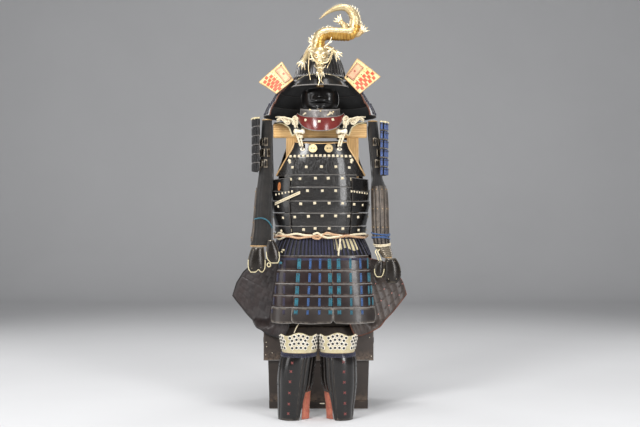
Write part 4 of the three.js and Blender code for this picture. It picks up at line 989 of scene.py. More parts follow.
SIDE_Z = [968, 912, 870, 820, 765, 723]
SIDE_OUT = STEP + 0.5 + 2 + 0.6
for nm, lo, hi in (("right", 49.0, 118.0), ("left", -118.0, -49.0)):
    g = Geo()
    for k in range(5):
        dr = (lambda deg, t, lo=lo, hi=hi: -8 * (1 - t) ** 2 * (1 - (2 * (deg - lo) / (hi - lo) - 1) ** 2)) if k == 0 else None
        R = lame_rows(SIDE_Z[k] - (1.2 if k else 0), SIDE_Z[k + 1] + (0 if k == 4 else 1.0), SIDE_OUT + 2.4, SIDE_OUT, lo, hi, 9, 40, dr)
        shell(g, R, 1.9, 0)
        n = normals(R)
        rim_wire(g, R[2] + n[2] * 0.5, 0.9, 1)
    # upright leather-bound edge at the front of the side plates
    e = lo if nm == "right" else hi
    path = np.array([torso(e, z, SIDE_OUT + 1.2) for z in np.linspace(962, 724, 40)])
    tube(g, path, 1.9, 8, 0)
    g.make("cuirass_side_%s_faced" % nm, [M["black"], M["edge"]], "black_lacquer", "cuirass_side_" + nm)

g = Geo()
v = np.linspace(0, 1, 16)
R = np.array([torso(np.linspace(float(straight(ARM, lerp(1128, 1056, t), 2)), 360 - float(straight(ARM, lerp(1128, 1056, t), 2)), 60), lerp(1128, 1056, t), 1) for t in v])
shell(g, R, 2.0, 0)
rim_wire(g, R[0] + [0, 0, 0.5], 2.0, 1)
g.make("cuirass_back_top_lacquered", [M["black"], M["piping"]], "black_lacquer", "cuirass_back_top")
g = Geo()
zs = [1052, 979, 928, 870, 820, 765, 723]
for k in range(6):
    if k == 0:
        lo, hi = (lambda z: float(min(117, straight(ARM, z, 2)))), (lambda z: 360 - float(min(117, straight(ARM, z, 2))))
    else:
        lo, hi = 106.0, 254.0
    R = lame_rows(zs[k] - (1.2 if k else 0), zs[k + 1] + (0 if k == 5 else 1.0), STEP - 1.4, -1.4, lo, hi, 10, 64)
    shell(g, R, 1.9, 0)
    rim_wire(g, R[2] + normals(R)[2] * 0.5, 0.9, 1)
g.make("cuirass_back_lames_faced", [M["crackle"], M["edge"]], "black_lacquer", "cuirass_back_lames")

# black lining plates that the back half shows inside the armholes
g = Geo()
zz = np.linspace(1112, 984, 26)
a2 = np.array([float(min(117, straight(ARM, z, 2))) for z in zz])
for s in (0, 1):
    D = a2[:, None] + np.linspace(-15, 3, 12)[None, :]
    R = torso(D, zz[:, None] + 0 * D, -4.2)
    if s:
        R[..., 0] = 6 - R[..., 0]
        R = R[:, ::-1]
    n = shell(g, R, 1.6, 0)
    e = R[:, 0] if not s else R[:, -1]
    tube(g, e, 1.6, 8, 1)
g.make("armhole_back_linings", [M["black"], M["edge"]], "black_lacquer")

# cream lacing knots: rows of (x, z) across the front, and the same spacing round the sides and back
g = Geo()
for x in np.linspace(-122.6, 125.9, 15):
    knot_at(g, x, 1056.0 - 0.012 * abs(x), STEP + 0.2, pillow(8, 8, 11.0, 11.0, 5.0, 2.6, groove=0.2), tilt=rng.uniform(-0.1, 0.1))
ROWS = [
    [(-115, 1008), (-57, 1009), (6, 1010), (66, 1010), (122, 1007)],
    [(-123, 958), (-83, 960), (-19, 962), (34, 962), (93, 962), (132, 959)],
    [(-52, 910), (10, 910), (65, 910)],
    [(-133, 854), (-80, 856), (-22, 859), (38, 859), (94, 858), (142, 854)],
    [(-154, 798), (-105, 801), (-48, 804), (9, 806), (65, 806), (119, 805), (159, 801)],
    [(-162, 744), (-123, 745), (-68, 749), (-20, 754), (38, 754), (95, 753), (134, 752), (161, 747)],
]
for row in ROWS:
    for x, z in row:
        on_side = abs(x) > 137 and z < 910
        knot_at(g, x, z, (SIDE_OUT + 1.6 if on_side else STEP - 0.2), tilt=rng.uniform(-0.16, 0.16), scale=rng.uniform(0.92, 1.06))
for a, b, n, za, zb in ((-183.9, -116.2, 6, 895.4, 907.7), (131.6, 197.2, 7, 907.8, 899.9)):
    for t in np.linspace(0, 1, n):
        knot_at(g, lerp(a, b, t), lerp(za, zb, t), SIDE_OUT + 1.4, SMALL_KNOT)
for x, z in ((-174.7, 845.3), (177.4, 851.1)):
    knot_at(g, x, z, SIDE_OUT + 1.4, SMALL_KNOT, scale=1.15)


def knot_round(deg, z, out, scale=1.0):
    p, X, Y, Z = ground(lambda a, b: torso(a, b, out), deg, z)
    place(g, KNOT, p, X, Y, Z, 0, scale)


for k, z in enumerate((962, 911, 852, 802, 747)):
    for deg in list(range(130, 235, 15)):
        knot_round(deg + (7 if k % 2 else 0), z, STEP - 1.2)
    if k:
        for deg in (84, 100, -84, -100):
            knot_round(deg, z, SIDE_OUT + 1.6, 0.9)
for deg in range(128, 236, 8):
    knot_round(deg, 1035, STEP - 1.0, 0.8)
# cord ties at the tops of the side plates
for x, z, dx in ((-128.4, 1036.6, -1), (133.0, 1038.2, 1)):
    knot_at(g, x, z, STEP + 0.4, scale=1.15, tilt=0.5 * dx)
    knot_at(g, x - 2.5 * dx, z - 7.5, STEP + 0.4, scale=0.9, tilt=-0.5 * dx)
g.make("cuirass_lacing_knots", [M["cream"]], "cream_cord")

# two flat ties across the left side plate and the tan reinforcing patch
g = Geo()


def on_torso(x, z, out):
    y = torso_y(x, z, out)
    deg = math.degrees(math.atan2(x - 3, 165 - y))
    p, X, Y, Z = ground(lambda a, b: torso(a, b, out), deg, z)
    return p, Z


for dz in (-3.5, 3.5):
    pts = [on_torso(lerp(-188.0, -83.9, t), lerp(856.3, 902.4, t) + dz, SIDE_OUT + 4.0 - 2 * t) for t in np.linspace(0, 1, 16)]
    ribbon(g, np.array([p for p, _ in pts]), np.array([n for _, n in pts]), 5.6, 2.4, 0, strands=2)
pts = [on_torso(-83.9, 902.4 + d, SIDE_OUT + 2) for d in (-5.3, 0, 5.3)]
tube(g, np.array([p for p, _ in pts]), 2.2, 8, 0)
g.make("side_tie_straps", [M["cream"]], "cream_cord")
g = Geo()
p, n = on_torso(-170.0, 928.8, SIDE_OUT + 2.6)
deg = math.degrees(math.atan2(p[0] - 3, 165 - p[1]))
p, X, Y, Z = ground(lambda a, b: torso(a, b, SIDE_OUT + 2.8), deg, p[2])
place(g, prism([(8.5 * math.cos(q), 18 * math.sin(q)) for q in np.linspace(0, 2 * PI, 25)[:-1]], 1.6, 0.8), p, X, Y, Z, 0)
g.make("side_patch", [M["orange"]], "tan_leather")


# ------------------------------------------------------------------ helmet


def near(R, x, z, out=0.0):
    """Point and directions of a grid at its front nearest to (x, z)."""
    j, i = np.unravel_index(np.argmin((R[..., 0] - x) ** 2 + (R[..., 2] - z) ** 2), R.shape[:2])
    Z = normals(R)[j, i]
    X = unit(R[j, min(i + 1, R.shape[1] - 1)] - R[j, max(i - 1, 0)])
    return R[j, i] + Z * out, X, np.cross(Z, X), Z


RIBS = 40
HX, HY = 0.0, 158.0
PROFILE = [(121, 4.5), (120.5, 20), (118, 36), (109, 60), (92, 78), (50, 97), (0, 108)]
g = Geo()
off = np.array([-0.5, -0.3, -0.13, -0.055, 0.0, 0.055, 0.13, 0.3])
q = (np.arange(RIBS)[:, None] + off[None, :]).ravel() / RIBS * 2 * PI
shape = np.tile(np.exp(-((off / 0.075) ** 2)) * 3.2 - 1.0 * (1 - np.minimum(1, np.abs(off) / 0.5)) * 0.5, RIBS)
pts = spline([(r, 0, h) for h, r in PROFILE], 30)
rows = []
for r, _, h in pts:
    k = float(np.clip((r - 14) / 60, 0, 1))
    rr = r + shape * k * (0.8 + 0.2 * (h < 60))
    rows.append(stack(HX + rr * np.sin(q), HY - 1.1 * rr * np.cos(q), 1388 + h))
shell(g, np.array(rows), 2.0, 0, loop=True)
base = np.array([(HX + 110.2 * math.sin(t), HY - 110.2 * 1.1 * math.cos(t), 1391) for t in np.linspace(0, 2 * PI, 97)[:-1]])
tube(g, base, 2.6, 8, 0, closed=True)
for t in range(RIBS):  # rivets along the foot of every plate
    w = (t + 0.5) / RIBS * 2 * PI
    for h, r in ((9, 105.4), (26, 101.5)):
        n = unit(np.array([math.sin(w), -1.1 * math.cos(w), 0.25]))
        place(g, dome(1.9, 1.6, 2, 8), (HX + r * math.sin(w), HY - 1.1 * r * math.cos(w), 1388 + h), unit(np.cross([0, 0, 1.0], n)), np.array([0, 0, 1.0]), n, 0)
# opening at the crown with its gilt collar
for r, z, rr in ((22, 1509.4, 2.4), (16, 1511.4, 2.2), (10, 1513, 2.0)):
    tube(g, np.array([(HX + r * math.sin(t), HY - 1.1 * r * math.cos(t), z) for t in np.linspace(0, 2 * PI, 33)[:-1]]), rr, 8, 1, closed=True)
place(g, prism([(19 * math.cos(t), 19 * math.sin(t)) for t in np.linspace(0, 2 * PI, 25)[:-1]], 3.0, 1.0), (HX, HY, 1508), np.array([1, 0, 0]), np.array([0, 1, 0]), np.array([0, 0, 1]), 1)
place(g, dome(9, 5, 4, 16), (HX, HY, 1511), np.array([1, 0, 0]), np.array([0, 1, 0]), np.array([0, 0, 1]), 1)
g.make("helmet_bowl_ribbed", [M["iron"], M["gilt"]], "black_iron", "helmet_bowl")

g = Geo()
rows = []
s = np.linspace(-1, 1, 80)
for v in np.linspace(0, 1, 15):
    o = np.interp(v, [0, 0.5, 1], [3, 26, 46]) * (1 - 0.6 * s * s) + 3
    z = np.interp(v, [0, 0.5, 1], [1396, 1373, 1345]) - np.interp(v, [0, 0.5, 1], [54, 26, 0]) * s * s * 0.6
    x, y = ring(HX, HY, 108 + o, 118.8 + o, 2, 65 * s)
    rows.append(stack(x, y, z))
R = np.array(rows)
n = shell(g, R, 2.0, 0)
tube(g, R[-1], 2.5, 8, 1)
for i in range(3, 77, 2):
    place(g, dome(1.7, 1.7, 2, 8), R[1, i], unit(R[1, i + 1] - R[1, i - 1]), np.array([0, 0, 1.0]), n[1, i], 2)
g.make("helmet_visor_lacquered", [M["mask"], M["edge"], M["brass"]], "black_iron", "helmet_visor")

NECK = [(1383, 1327, 115, 172, 126, 178, 66), (1333, 1275, 176, 209, 182, 210, 64), (1281, 1225, 213, 238, 214, 234, 62)]
lace_geo = Geo()
for k, (z0, z1, a0, a1, b0, b1, edge) in enumerate(NECK):
    g = Geo()
    deg = np.linspace(edge, 360 - edge, 150)
    rows = []
    for v in np.linspace(0, 1, 12):
        bow = 4 * math.sin(v * PI)
        x, y = ring(HX, HY, lerp(a0, a1, v) + bow, lerp(b0, b1, v) + bow, 2, deg)
        rows.append(stack(x, y, lerp(z0, z1, v)))
    R = np.array(rows)
    # inner face in the darker lacquer: painted shade
    n = shell(g, R, 2.0, 0, 1)
    tube(g, R[-1] - n[-1] * 1.0, 2.3, 8, 2)
    for i, step in ((0, 1), (-1, -1)):  # bound front edges
        strip = R[:, i] - n[:, i] * 1.0
        tube(g, strip, 3.2, 8, 3 if step > 0 or k < 2 else 4)
    g.make("neck_guard_lame_%d_lacquered" % (k + 1), [M["black"], M["inside"], M["shin_edge"], M["frame"], M["frame"]], "black_iron", "neck_guard_lame_%d" % (k + 1))
    for i in range(5, 148, 7):
        ribbon(lace_geo, R[1:11, i], n[1:11, i], 9.0, 1.8, 0, lift=0.4)
        for row in (1, 9):
            place(lace_geo, SMALL_KNOT, R[row, i] + n[row, i] * 0.8, unit(R[row, i + 1] - R[row, i - 1]), unit(R[row - 1, i] - R[row + 1, i]), n[row, i], 0, 1.0)
lace_geo.make("neck_guard_lacing", [M["navy"]], "navy_lacing")

# inside facings at both front edges of the neck guard
g = Geo()
for s in (-1, 1):
    for k, (z0, z1, a0, a1, b0, b1, edge) in enumerate(NECK):
        rows = []
        for v in np.linspace(0.06, 0.94, 8):
            d = edge + np.linspace(0.4, 13 - 3 * k, 8)
            bow = 4 * math.sin(v * PI)
            x, y = ring(HX, HY, lerp(a0, a1, v) + bow - 3.2, lerp(b0, b1, v) + bow - 3.2, 2, d if s > 0 else 360 - d)
            rows.append(stack(x, y, lerp(z0, z1, v)))
        R = np.array(rows)
        if s < 0:
            R = R[:, ::-1]
        shell(g, R, 1.2, 1 if (s > 0 and k < 2) else 0)
g.make("neck_guard_edge_facing", [M["orange"], M["pink"]], "stencilled_leather")

EARS = {
    "left": [(-160, 92, 1450), (-112, 64, 1372), (-181, 66, 1316), (-256, 108, 1368)],
    "right": [(102, 64, 1380), (156, 92, 1464), (253, 108, 1390), (166, 66, 1316)],
}
SQ = lambda w, h: prism([(-w, -h), (w, -h), (w, h), (-w, h)], 0.9, 0.35)
for side, c in EARS.items():
    c = np.array(c, float)

    def flap(u, w, c=c, side=side):
        """u along the flap's inner edge, w from that edge to the outer one."""
        top = c[0] + (c[1] - c[0]) * np.asarray(u)[..., None]
        low = c[3] + (c[2] - c[3]) * np.asarray(u)[..., None]
        p = top + (low - top) * np.asarray(w)[..., None]
        p[..., 1] -= 5.4 * np.sin(np.asarray(u) * PI) + 3 * np.sin(np.asarray(w) * PI) + (3.2 if side == "right" else 0)
        return p
    U, W = np.meshgrid(np.linspace(0, 1, 22), np.linspace(0, 1, 24))
    R = flap(U, W)
    g = Geo()
    n = shell(g, R, 2.6, 0, 1)
    rim = np.concatenate([R[0], R[1:, -1], R[-1, ::-1][1:], R[::-1, 0][1:-1]])
    rim[:, 1] += 1.2
    tube(g, rim, 2.0, 8, 1, closed=True)

    def put(shape, u, w, mat, lift=0.1, turn=0.0):
        e = 0.02
        p = flap(np.array(u), np.array(w))
        X = unit(flap(np.array(u + e), np.array(w)) - flap(np.array(u - e), np.array(w)))
        D = unit(flap(np.array(u), np.array(w + e)) - flap(np.array(u), np.array(w - e)))
        Z = unit(np.cross(D, X))
        if Z[1] > 0:
            Z = -Z
        Y = np.cross(Z, X)
        place(g, shape, p + Z * lift, X, Y, Z, mat)
    rg = np.random.RandomState(3 if side == "left" else 4)
    for r, w in enumerate((0.59, 0.735, 0.88)):
        for a in range(5 if r % 2 else 4):
            u = (a + (0.5 if r % 2 else 1.0)) / 5.0
            put(SQ(7.6 + rg.uniform(-0.6, 0.6), 7.2 + rg.uniform(-0.6, 0.6)), u, w, 2)
            put(SQ(4.6, 0.5), u, w, 6, 0.8)
    dot = prism([(2.2 * math.cos(t), 2.2 * math.sin(t)) for t in np.linspace(0, 2 * PI, 9)[:-1]], 0.9, 0.4)
    for a in range(6):
        put(dot, 0.1 + 0.16 * a, 0.475, 5)
    put(SQ(38, 17.5), 0.5, 0.215, 3, 0.0)
    put(SQ(36.2, 15.7), 0.5, 0.215, 4, 0.15)
    put(SQ(33.6, 13.2), 0.5, 0.215, 3, 0.3)
    put(SQ(32.2, 11.8), 0.5, 0.215, 4, 0.45)
    blot = prism([(5 * math.cos(t) * (1 + 0.3 * math.cos(5 * t)), 5 * math.sin(t) * (1 + 0.3 * math.cos(5 * t))) for t in np.linspace(0, 2 * PI, 31)[:-1]], 0.5, 0.2)
    for a in range(5):
        put(blot, 0.24 + 0.13 * a, 0.19 + 0.05 * (a % 2), 0 if a % 2 else 6, 0.9)
    # dark dot near the corner: painted shade of a hole
    put(prism([(3.4 * math.cos(t), 3.4 * math.sin(t)) for t in np.linspace(0, 2 * PI, 13)[:-1]], 1.4, 0.5), 0.1, 0.08, 7, 0.3)
    g.make("helmet_turnback_%s_stencilled" % side, [M["ground"], M["piping"], M["square"], M["frame"], M["pink"], M["green"], M["terracotta"], M["hole"]],
           "stencilled_leather", "helmet_turnback_" + side)


# ------------------------------------------------------------------ dragon crest

BODY = [(-4, 2, 1448, 16), (-8, -2, 1478, 26), (-8, 0, 1508, 27), (-4, 8, 1536, 26), (18, 16, 1555, 25), (50, 22, 1557, 26), (84, 28, 1556, 26),
        (116, 34, 1557, 26), (138, 38, 1571, 24), (145, 40, 1598, 23), (144, 40, 1626, 21), (129, 40, 1652, 17), (103, 40, 1668, 13), (68, 40, 1665, 10.5),
        (32, 38, 1648, 6.6), (-1, 36, 1621, 1.6)]
LIMBS = [
    [(-20, 4, 1500, 11), (-44, 12, 1486, 13), (-58, 24, 1462, 11), (-68, 28, 1446, 10)],
    [(8, 2, 1500, 11), (34, 10, 1495, 12), (54, 15, 1484, 11), (62, 17, 1478, 10)],
    [(108, 30, 1562, 13), (102, 34, 1590, 13), (92, 34, 1602, 11), (86, 34, 1608, 9)],
    [(132, 36, 1560, 13), (154, 34, 1556, 12), (166, 32, 1562, 10), (171, 32, 1567, 9)],
]


class Around:
    """Adds what it is given to another mesh, scaled about a point."""

    def __init__(self, g, c, k):
        self.g, self.c, self.k = g, np.asarray(c, float), k

    def add(self, v, f, mat=0, uv=None):
        self.g.add(self.c + (np.asarray(v, float) - self.c) * self.k, f, mat, uv)



def scaled(g, stations, n, sides, pitch, depth, mats, belly=None, spread=0.30, start=(0.0, -1.0, 0.1)):
    """Sinuous body with overlapping scales; belly is the direction that its broad plates face."""
    st = np.asarray(stations, float)
    path = spline(st[:, :3], n)
    knots = np.linspace(0, 1, len(st))
    d = np.concatenate([[0], np.cumsum(np.linalg.norm(np.diff(st[:, :3], axis=0), axis=1))])
    s = np.concatenate([[0], np.cumsum(np.linalg.norm(np.diff(path, axis=0), axis=1))])
    r = np.interp(s / s[-1], d / d[-1], st[:, 3])
    T = unit(np.gradient(path, axis=0))
    A = carry(T, np.array(start, float))
    B = np.cross(T, A)
    th = np.arange(sides) / sides * 2 * PI
    S, TH = np.meshgrid(s, th, indexing="ij")
    around = 10 if sides > 40 else 7
    row = S / pitch
    h = np.zeros_like(S)
    for lag in (0, 1):
        k = np.floor(row) - lag
        x = (TH / (2 * PI) * around + 0.5 * (k % 2)) % 1.0 - 0.5
        y = (row - k) / 2.0
        inside = np.clip(1 - (np.abs(x) / 0.62) ** 2 - np.clip((y - 0.45) / 0.55, 0, 1) ** 2, 0, 1)
        h = np.maximum(h, np.sqrt(inside) * (0.25 + 0.75 * y))
    face = np.zeros_like(S)
    if belly is not None:
        b = unit(np.asarray(belly, float))
        out = A[:, None] * np.cos(th)[None, :, None] + B[:, None] * np.sin(th)[None, :, None]
        bb = b[None, :] - T * (T @ b)[:, None]
        bb = unit(bb) if belly is not None else bb
        face = smooth(math.cos(spread * PI) - 0.08, math.cos(spread * PI) + 0.02, (out * bb[:, None]).sum(2)) * (S < s[-1] * 0.56)
        plates = np.abs(((S / (pitch * 1.5)) % 1) - 0.12) ** 0.5 * 0.9
        h = lerp(h, plates, face)
    small = np.clip(r / 20, 0.12, 1)[:, None]
    rad = r[:, None] * 0.94 + h * depth * small
    V = path[:, None] + A[:, None] * (rad * np.cos(TH))[..., None] + B[:, None] * (rad * np.sin(TH))[..., None]
    j, i = np.meshgrid(np.arange(n - 1), np.arange(sides), indexing="ij")
    k = (i + 1) % sides
    F = np.stack([j * sides + i, j * sides + k, (j + 1) * sides + k, (j + 1) * sides + i], -1).reshape(-1, 4)
    m = np.where(face[:-1].reshape(-1) > 0.5, mats[1], mats[0])
    g.add(V.reshape(-1, 3), F, m.tolist())
    for e in (0, n - 1):
        a = np.arange(sides)
        f = np.stack([(a + 1) % sides, a, np.full(sides, sides)], -1)
        g.add(np.concatenate([V[e], [path[e]]]), f if e == 0 else f[:, ::-1], mats[0])
    return path, T, A, B, r


def flame(g, root, way, bend, length, r, mat=0, flat=0.45, n=9):
    """Curved tapering lock."""
    root, way, bend = (np.asarray(q, float) for q in (root, way, bend))
    t = np.linspace(0, 1, n)[:, None]
    path = root + way * length * t + bend * length * t * t
    tube(g, path, r * (1 - np.linspace(0, 1, n) ** 1.4 * 0.94), 7, mat, squash=flat)


def blob(g, c, size, mat=0, turn=None, ni=20, nj=12, push=None):
    th, ph = np.meshgrid(np.arange(ni) / ni * 2 * PI, np.linspace(0.0, PI, nj + 1)[1:-1])
    v = np.stack([np.sin(ph) * np.sin(th), -np.sin(ph) * np.cos(th), np.cos(ph)], -1)
    poles = np.array([[0, 0, 1.0], [0, 0, -1.0]])
    fix = (lambda q: q) if push is None else push
    full = fix(np.concatenate([v.reshape(-1, 3), poles])) * np.asarray(size, float)
    if turn is not None:
        full = full @ np.asarray(turn).T
    full = full + np.asarray(c, float)
    m = nj - 1
    F = grid_faces(m, ni, True)
    a = np.arange(ni)
    k = (a + 1) % ni
    top = np.stack([k, np.full(ni, m * ni), a], -1)[:, ::-1]
    low = np.stack([(m - 1) * ni + a, np.full(ni, m * ni + 1), (m - 1) * ni + k], -1)[:, ::-1]
    g.add(full, F, mat)
    g.add(full, top[:, ::-1], mat)
    g.add(full, low[:, ::-1], mat)


g = Geo()
rg = np.random.RandomState(21)
path, T, A, B, r = scaled(g, BODY, 320, 42, 8.2, 4.4, (0, 1), belly=(0.35, -0.55, -0.75))
back = unit(np.array([-0.45, 0.2, 0.87]))
for k in range(26, 310, 6):  # flame-like fins along the spine, on the outside of every curve
    b = back if k < 180 else unit(path[k] - np.array([78, 40, 1610]))
    o = unit(b - T[k] * np.dot(T[k], b))
    L = (9 + 4 * math.sin(k * 0.9)) * np.clip(r[k] / 20, 0.3, 1)
    root = path[k] + o * (r[k] * 0.86)
    flame(g, root, o * 0.85 + T[k] * 0.25, T[k] * 0.55, L * 1.35, 4.6 * np.clip(r[k] / 20, 0.35, 1), 0, 0.4)
for k in range(30, 250, 12):  # small side tufts
    side = unit(np.cross(T[k], back))
    for s in (-1, 1):
        flame(g, path[k] + side * s * r[k] * 0.86, side * s * 0.5 + T[k] * 0.5, back * 0.4, 10, 2.6, 0, 0.4, 6)
for li, rows in enumerate(LIMBS):
    p, t, a, b, rr = scaled(g, rows, 70, 30, 6.5, 2.6, (0, 0))
    foot, way = p[-1], t[-1]
    side = unit(np.cross(way, [0, -1, 0]))
    front = np.array([0, -1.0, 0])
    paw = Around(g, foot, 1.35)
    blob(paw, foot + way * 3, (9, 8, 9), 0)
    for f, sp in enumerate((-1.0, -0.35, 0.3, 0.95)):  # toes and claws
        d = unit(way + side * sp * 0.9 + front * (0.35 - 0.2 * abs(sp)))
        knuckle = foot + d * 9 + front * 3
        tip = foot + d * 17 + front * 2 - np.array([0, 0, 1.5 if li < 2 else 0])
        tube(paw, spline([foot + d * 3, knuckle, tip], 9), np.array([4.2, 4.4, 4.6, 4.4, 4.0, 3.7, 3.6, 3.3, 2.8]), 8, 0)
        flame(paw, tip - d * 1, d * 0.8 + front * 0.1, np.array([0, 0.2, -0.5]) if li < 2 else way * 0.1 + front * 0.2, 9, 2.5, 2, 0.7, 6)
    thumb = unit(-way * 0.3 - side * 1.0 + front * 0.4)
    flame(paw, foot, thumb, way * 0.4, 15, 3.2, 0, 0.8)
    for q in range(4):  # tufts at the elbow
        k = 22 + q * 5
        o = unit(np.array([-0.2 if li != 3 else 0.6, 0.2, 0.6]) - t[k] * 0.2)
        flame(g, p[k] + o * rr[k] * 0.7, o, -t[k] * 0.6, 15 - q * 2, 3.2, 0, 0.4)

# head, facing forward and down
C = np.array([0.0, -17.0, 1464.0])
hd = Around(g, C, 1.30)


def skull(q):
    x, y, z = q[..., 0], q[..., 1], q[..., 2]
    w = 1 - 0.34 * smooth(0.0, -1.0, z)
    return np.stack([x * w, y * (1 + 0.35 * smooth(0.1, -0.8, z)), z], -1)


blob(hd, C, (25, 20, 27), 0, push=skull, ni=30, nj=20)
blob(hd, C + [0, -13, -23], (14.5, 15, 20), 0, ni=26, nj=18)          # muzzle
blob(hd, C + [0, -11, -42], (12.0, 12, 8), 0, ni=22, nj=12)           # upper lip
blob(hd, C + [0, -4, -50], (10.5, 12, 7), 0, ni=22, nj=12)            # lower jaw
blob(hd, C + [0, -26, -31], (8.5, 6.5, 5.5), 0)                        # nose
for s in (-1, 1):
    blob(hd, C + [s * 6.6, -27, -33], (4.4, 4.4, 3.8), 0, ni=14, nj=9)
    blob(hd, C + [s * 5.6, -30.4, -34.2], (1.6, 1.6, 1.4), 3, ni=10, nj=7)   # nostril, dark: painted shade
    blob(hd, C + [s * 11.5, -15.5, -6], (6.6, 5.2, 5.0), 0, ni=16, nj=10)    # eye socket
    blob(hd, C + [s * 11.8, -18.8, -6.4], (4.3, 3.6, 3.6), 2, ni=16, nj=10)  # eyeball
    blob(hd, C + [s * 11.6, -22.0, -6.8], (1.7, 1.2, 1.9), 3, ni=10, nj=7)
    brow = [C + [s * 2.5, -20, -4.5], C + [s * 9, -23, 1.5], C + [s * 16, -19, 4.5], C + [s * 24, -10, 9]]
    tube(hd, spline(brow, 16), np.linspace(2.6, 1.4, 16) * 1.25, 8, 0)
    lid = [C + [s * 6.5, -21.5, -9.2], C + [s * 11.5, -22.3, -11.4], C + [s * 17, -18.2, -8.4]]
    tube(hd, spline(lid, 10), 1.3, 7, 0)
    cheek = [C + [s * 9, -20, -20], C + [s * 16, -14, -18], C + [s * 22, -5, -10]]
    tube(hd, spline(cheek, 12), np.linspace(2.8, 1.6, 12), 8, 0)
    lip = [C + [s * 0.5, -23.5, -41], C + [s * 7, -20.5, -43.5], C + [s * 12.5, -11, -41], C + [s * 17, 0, -33]]
    tube(hd, spline(lip, 16), 2.0, 8, 0)
    for q, (dx, dz, L) in enumerate(((4, -44, 7), (8, -44, 5), (11, -42, 4.5))):  # teeth
        flame(hd, C + [s * dx, -20 + 3.4 * q, dz], (0, -0.1, -1), (0, 0, 0), L, 1.5, 2, 0.8, 5)
    # long whiskers from the muzzle
    if s < 0:
        w = [C + [-8, -26, -30], C + [-22, -24, -14], C + [-31, -16, 4], C + [-35, -12, -14], C + [-36, -12, -46], C + [-30, -14, -80]]
    else:
        w = [C + [8, -26, -30], C + [24, -24, -24], C + [36, -16, 2], C + [42, -10, 22], C + [34, -14, -16], C + [22, -18, -44]]
    tube(hd, spline(w, 44), np.linspace(2.6, 0.9, 44), 8, 2)
    # antlers with a short tine, and ears
    horn = [C + [s * 11, -3, 18], C + [s * 19, 2, 30], C + [s * 30, 4, 40], C + [s * 36, 2, 56]]
    tube(hd, spline(horn, 22), np.linspace(4.4, 1.4, 22), 10, 0)
    flame(hd, C + [s * 27, 3, 38], (s * 0.9, -0.1, 0.1), (0, 0, 0.5), 14, 2.6, 0, 1.0)
    flame(hd, C + [s * 20, 0, 8], (s * 0.9, -0.2, 0.2), (0, 0, 0.4), 24, 6.0, 0, 0.35)
    for q in range(9):  # mane
        a = 0.15 + q * 0.30
        d = np.array([s * math.cos(a - 0.9), 0.25, math.sin(a - 0.9)])
        flame(hd, C + d * 19 + [0, 2, 0], d, np.array([s * 0.1, 0.3, 0.5 - 0.1 * q]), 17 + 6 * math.sin(q * 2.1), 4.2, 0, 0.5)
for q in range(9):  # nose-bridge folds
    if q < 4:
        tube(hd, spline([C + [-6.5 + q * 0.6, -22 - q * 1.4, -12 - q * 4], C + [0, -26 - q * 1.4, -10.5 - q * 4], C + [6.5 - q * 0.6, -22 - q * 1.4, -12 - q * 4]], 10), 1.4, 7, 0)
    flame(hd, C + [-9 + q * 2.25, -4 - 3 * math.sin(q * 0.4), -54], (0.04 * (q - 4), -0.2, -1), (0.05 * (q - 4), 0.35, 0), 12 + 5 * math.sin(q * 1.7), 2.3, 0, 0.6, 7)
flame(hd, C + [0, -6, 20], (0, -0.2, 1), (0, 0.5, 0), 20, 4.5, 0, 0.6)
for dx, L in ((-4, 46), (7, 40)):  # barbels below the jaw
    w = [C + [dx * 0.6, -12, -54], C + [dx, -22, -66], C + [dx * 0.4, -28, -54 - L * 0.7], C + [dx * 1.6, -30, -54 - L]]
    tube(hd, spline(w, 24), np.linspace(2.0, 0.8, 24), 7, 2)
g.make("dragon_crest_gilt", [M["gilt"], M["amber"], M["brass"], M["hole"]], "gilt", "dragon_crest", sharp=50)


# ------------------------------------------------------------------ mask and throat guard

FACE = [(1338, 70, 84), (1318, 76, 90), (1298, 79, 92), (1276, 76, 92), (1252, 62, 86)]
z, s = np.meshgrid(np.linspace(1338, 1252, 48), np.linspace(-1, 1, 80), indexing="ij")
bump = lambda z0, w, s0, h: np.exp(-(((z - z0) / w) ** 2) - (((np.abs(s) - s0) / h) ** 2))
nose = np.interp(z, [1284, 1292, 1298, 1318, 1338], [0, 10, 24, 15, 7]) * np.exp(-((s / 0.13) ** 2))
out = nose + 8 * bump(1296, 6, 0.13, 0.06) + 6 * bump(1316, 14, 0.42, 0.17) + 5.5 * bump(1281.5, 3.6, 0, 0.26) + 6 * bump(1269.5, 4.0, 0, 0.22) \
    - 5 * bump(1276, 1.9, 0, 0.3) + 9 * bump(1256, 7, 0, 0.22) - 2.5 * bump(1292, 14, 0.27, 0.05)
zz = z - 14 * s * s * smooth(1328, 1338, z) + 18 * s * s * smooth(1262, 1252, z)
x, y = ring(HX, 138, interp(FACE, z, 1) + 0.4 * out, interp(FACE, z, 2) + out, 2.2, 84 * s)
R = stack(x, y, zz)
g = Geo()
shell(g, R, 2.0, 0)
for row in (0, -1):
    tube(g, R[row], 1.8, 8, 0)
for s_ in (0, -1):
    tube(g, R[:, s_], 1.8, 8, 0)
g.make("face_mask_lacquered", [M["mask"]], "black_iron", "face_mask")

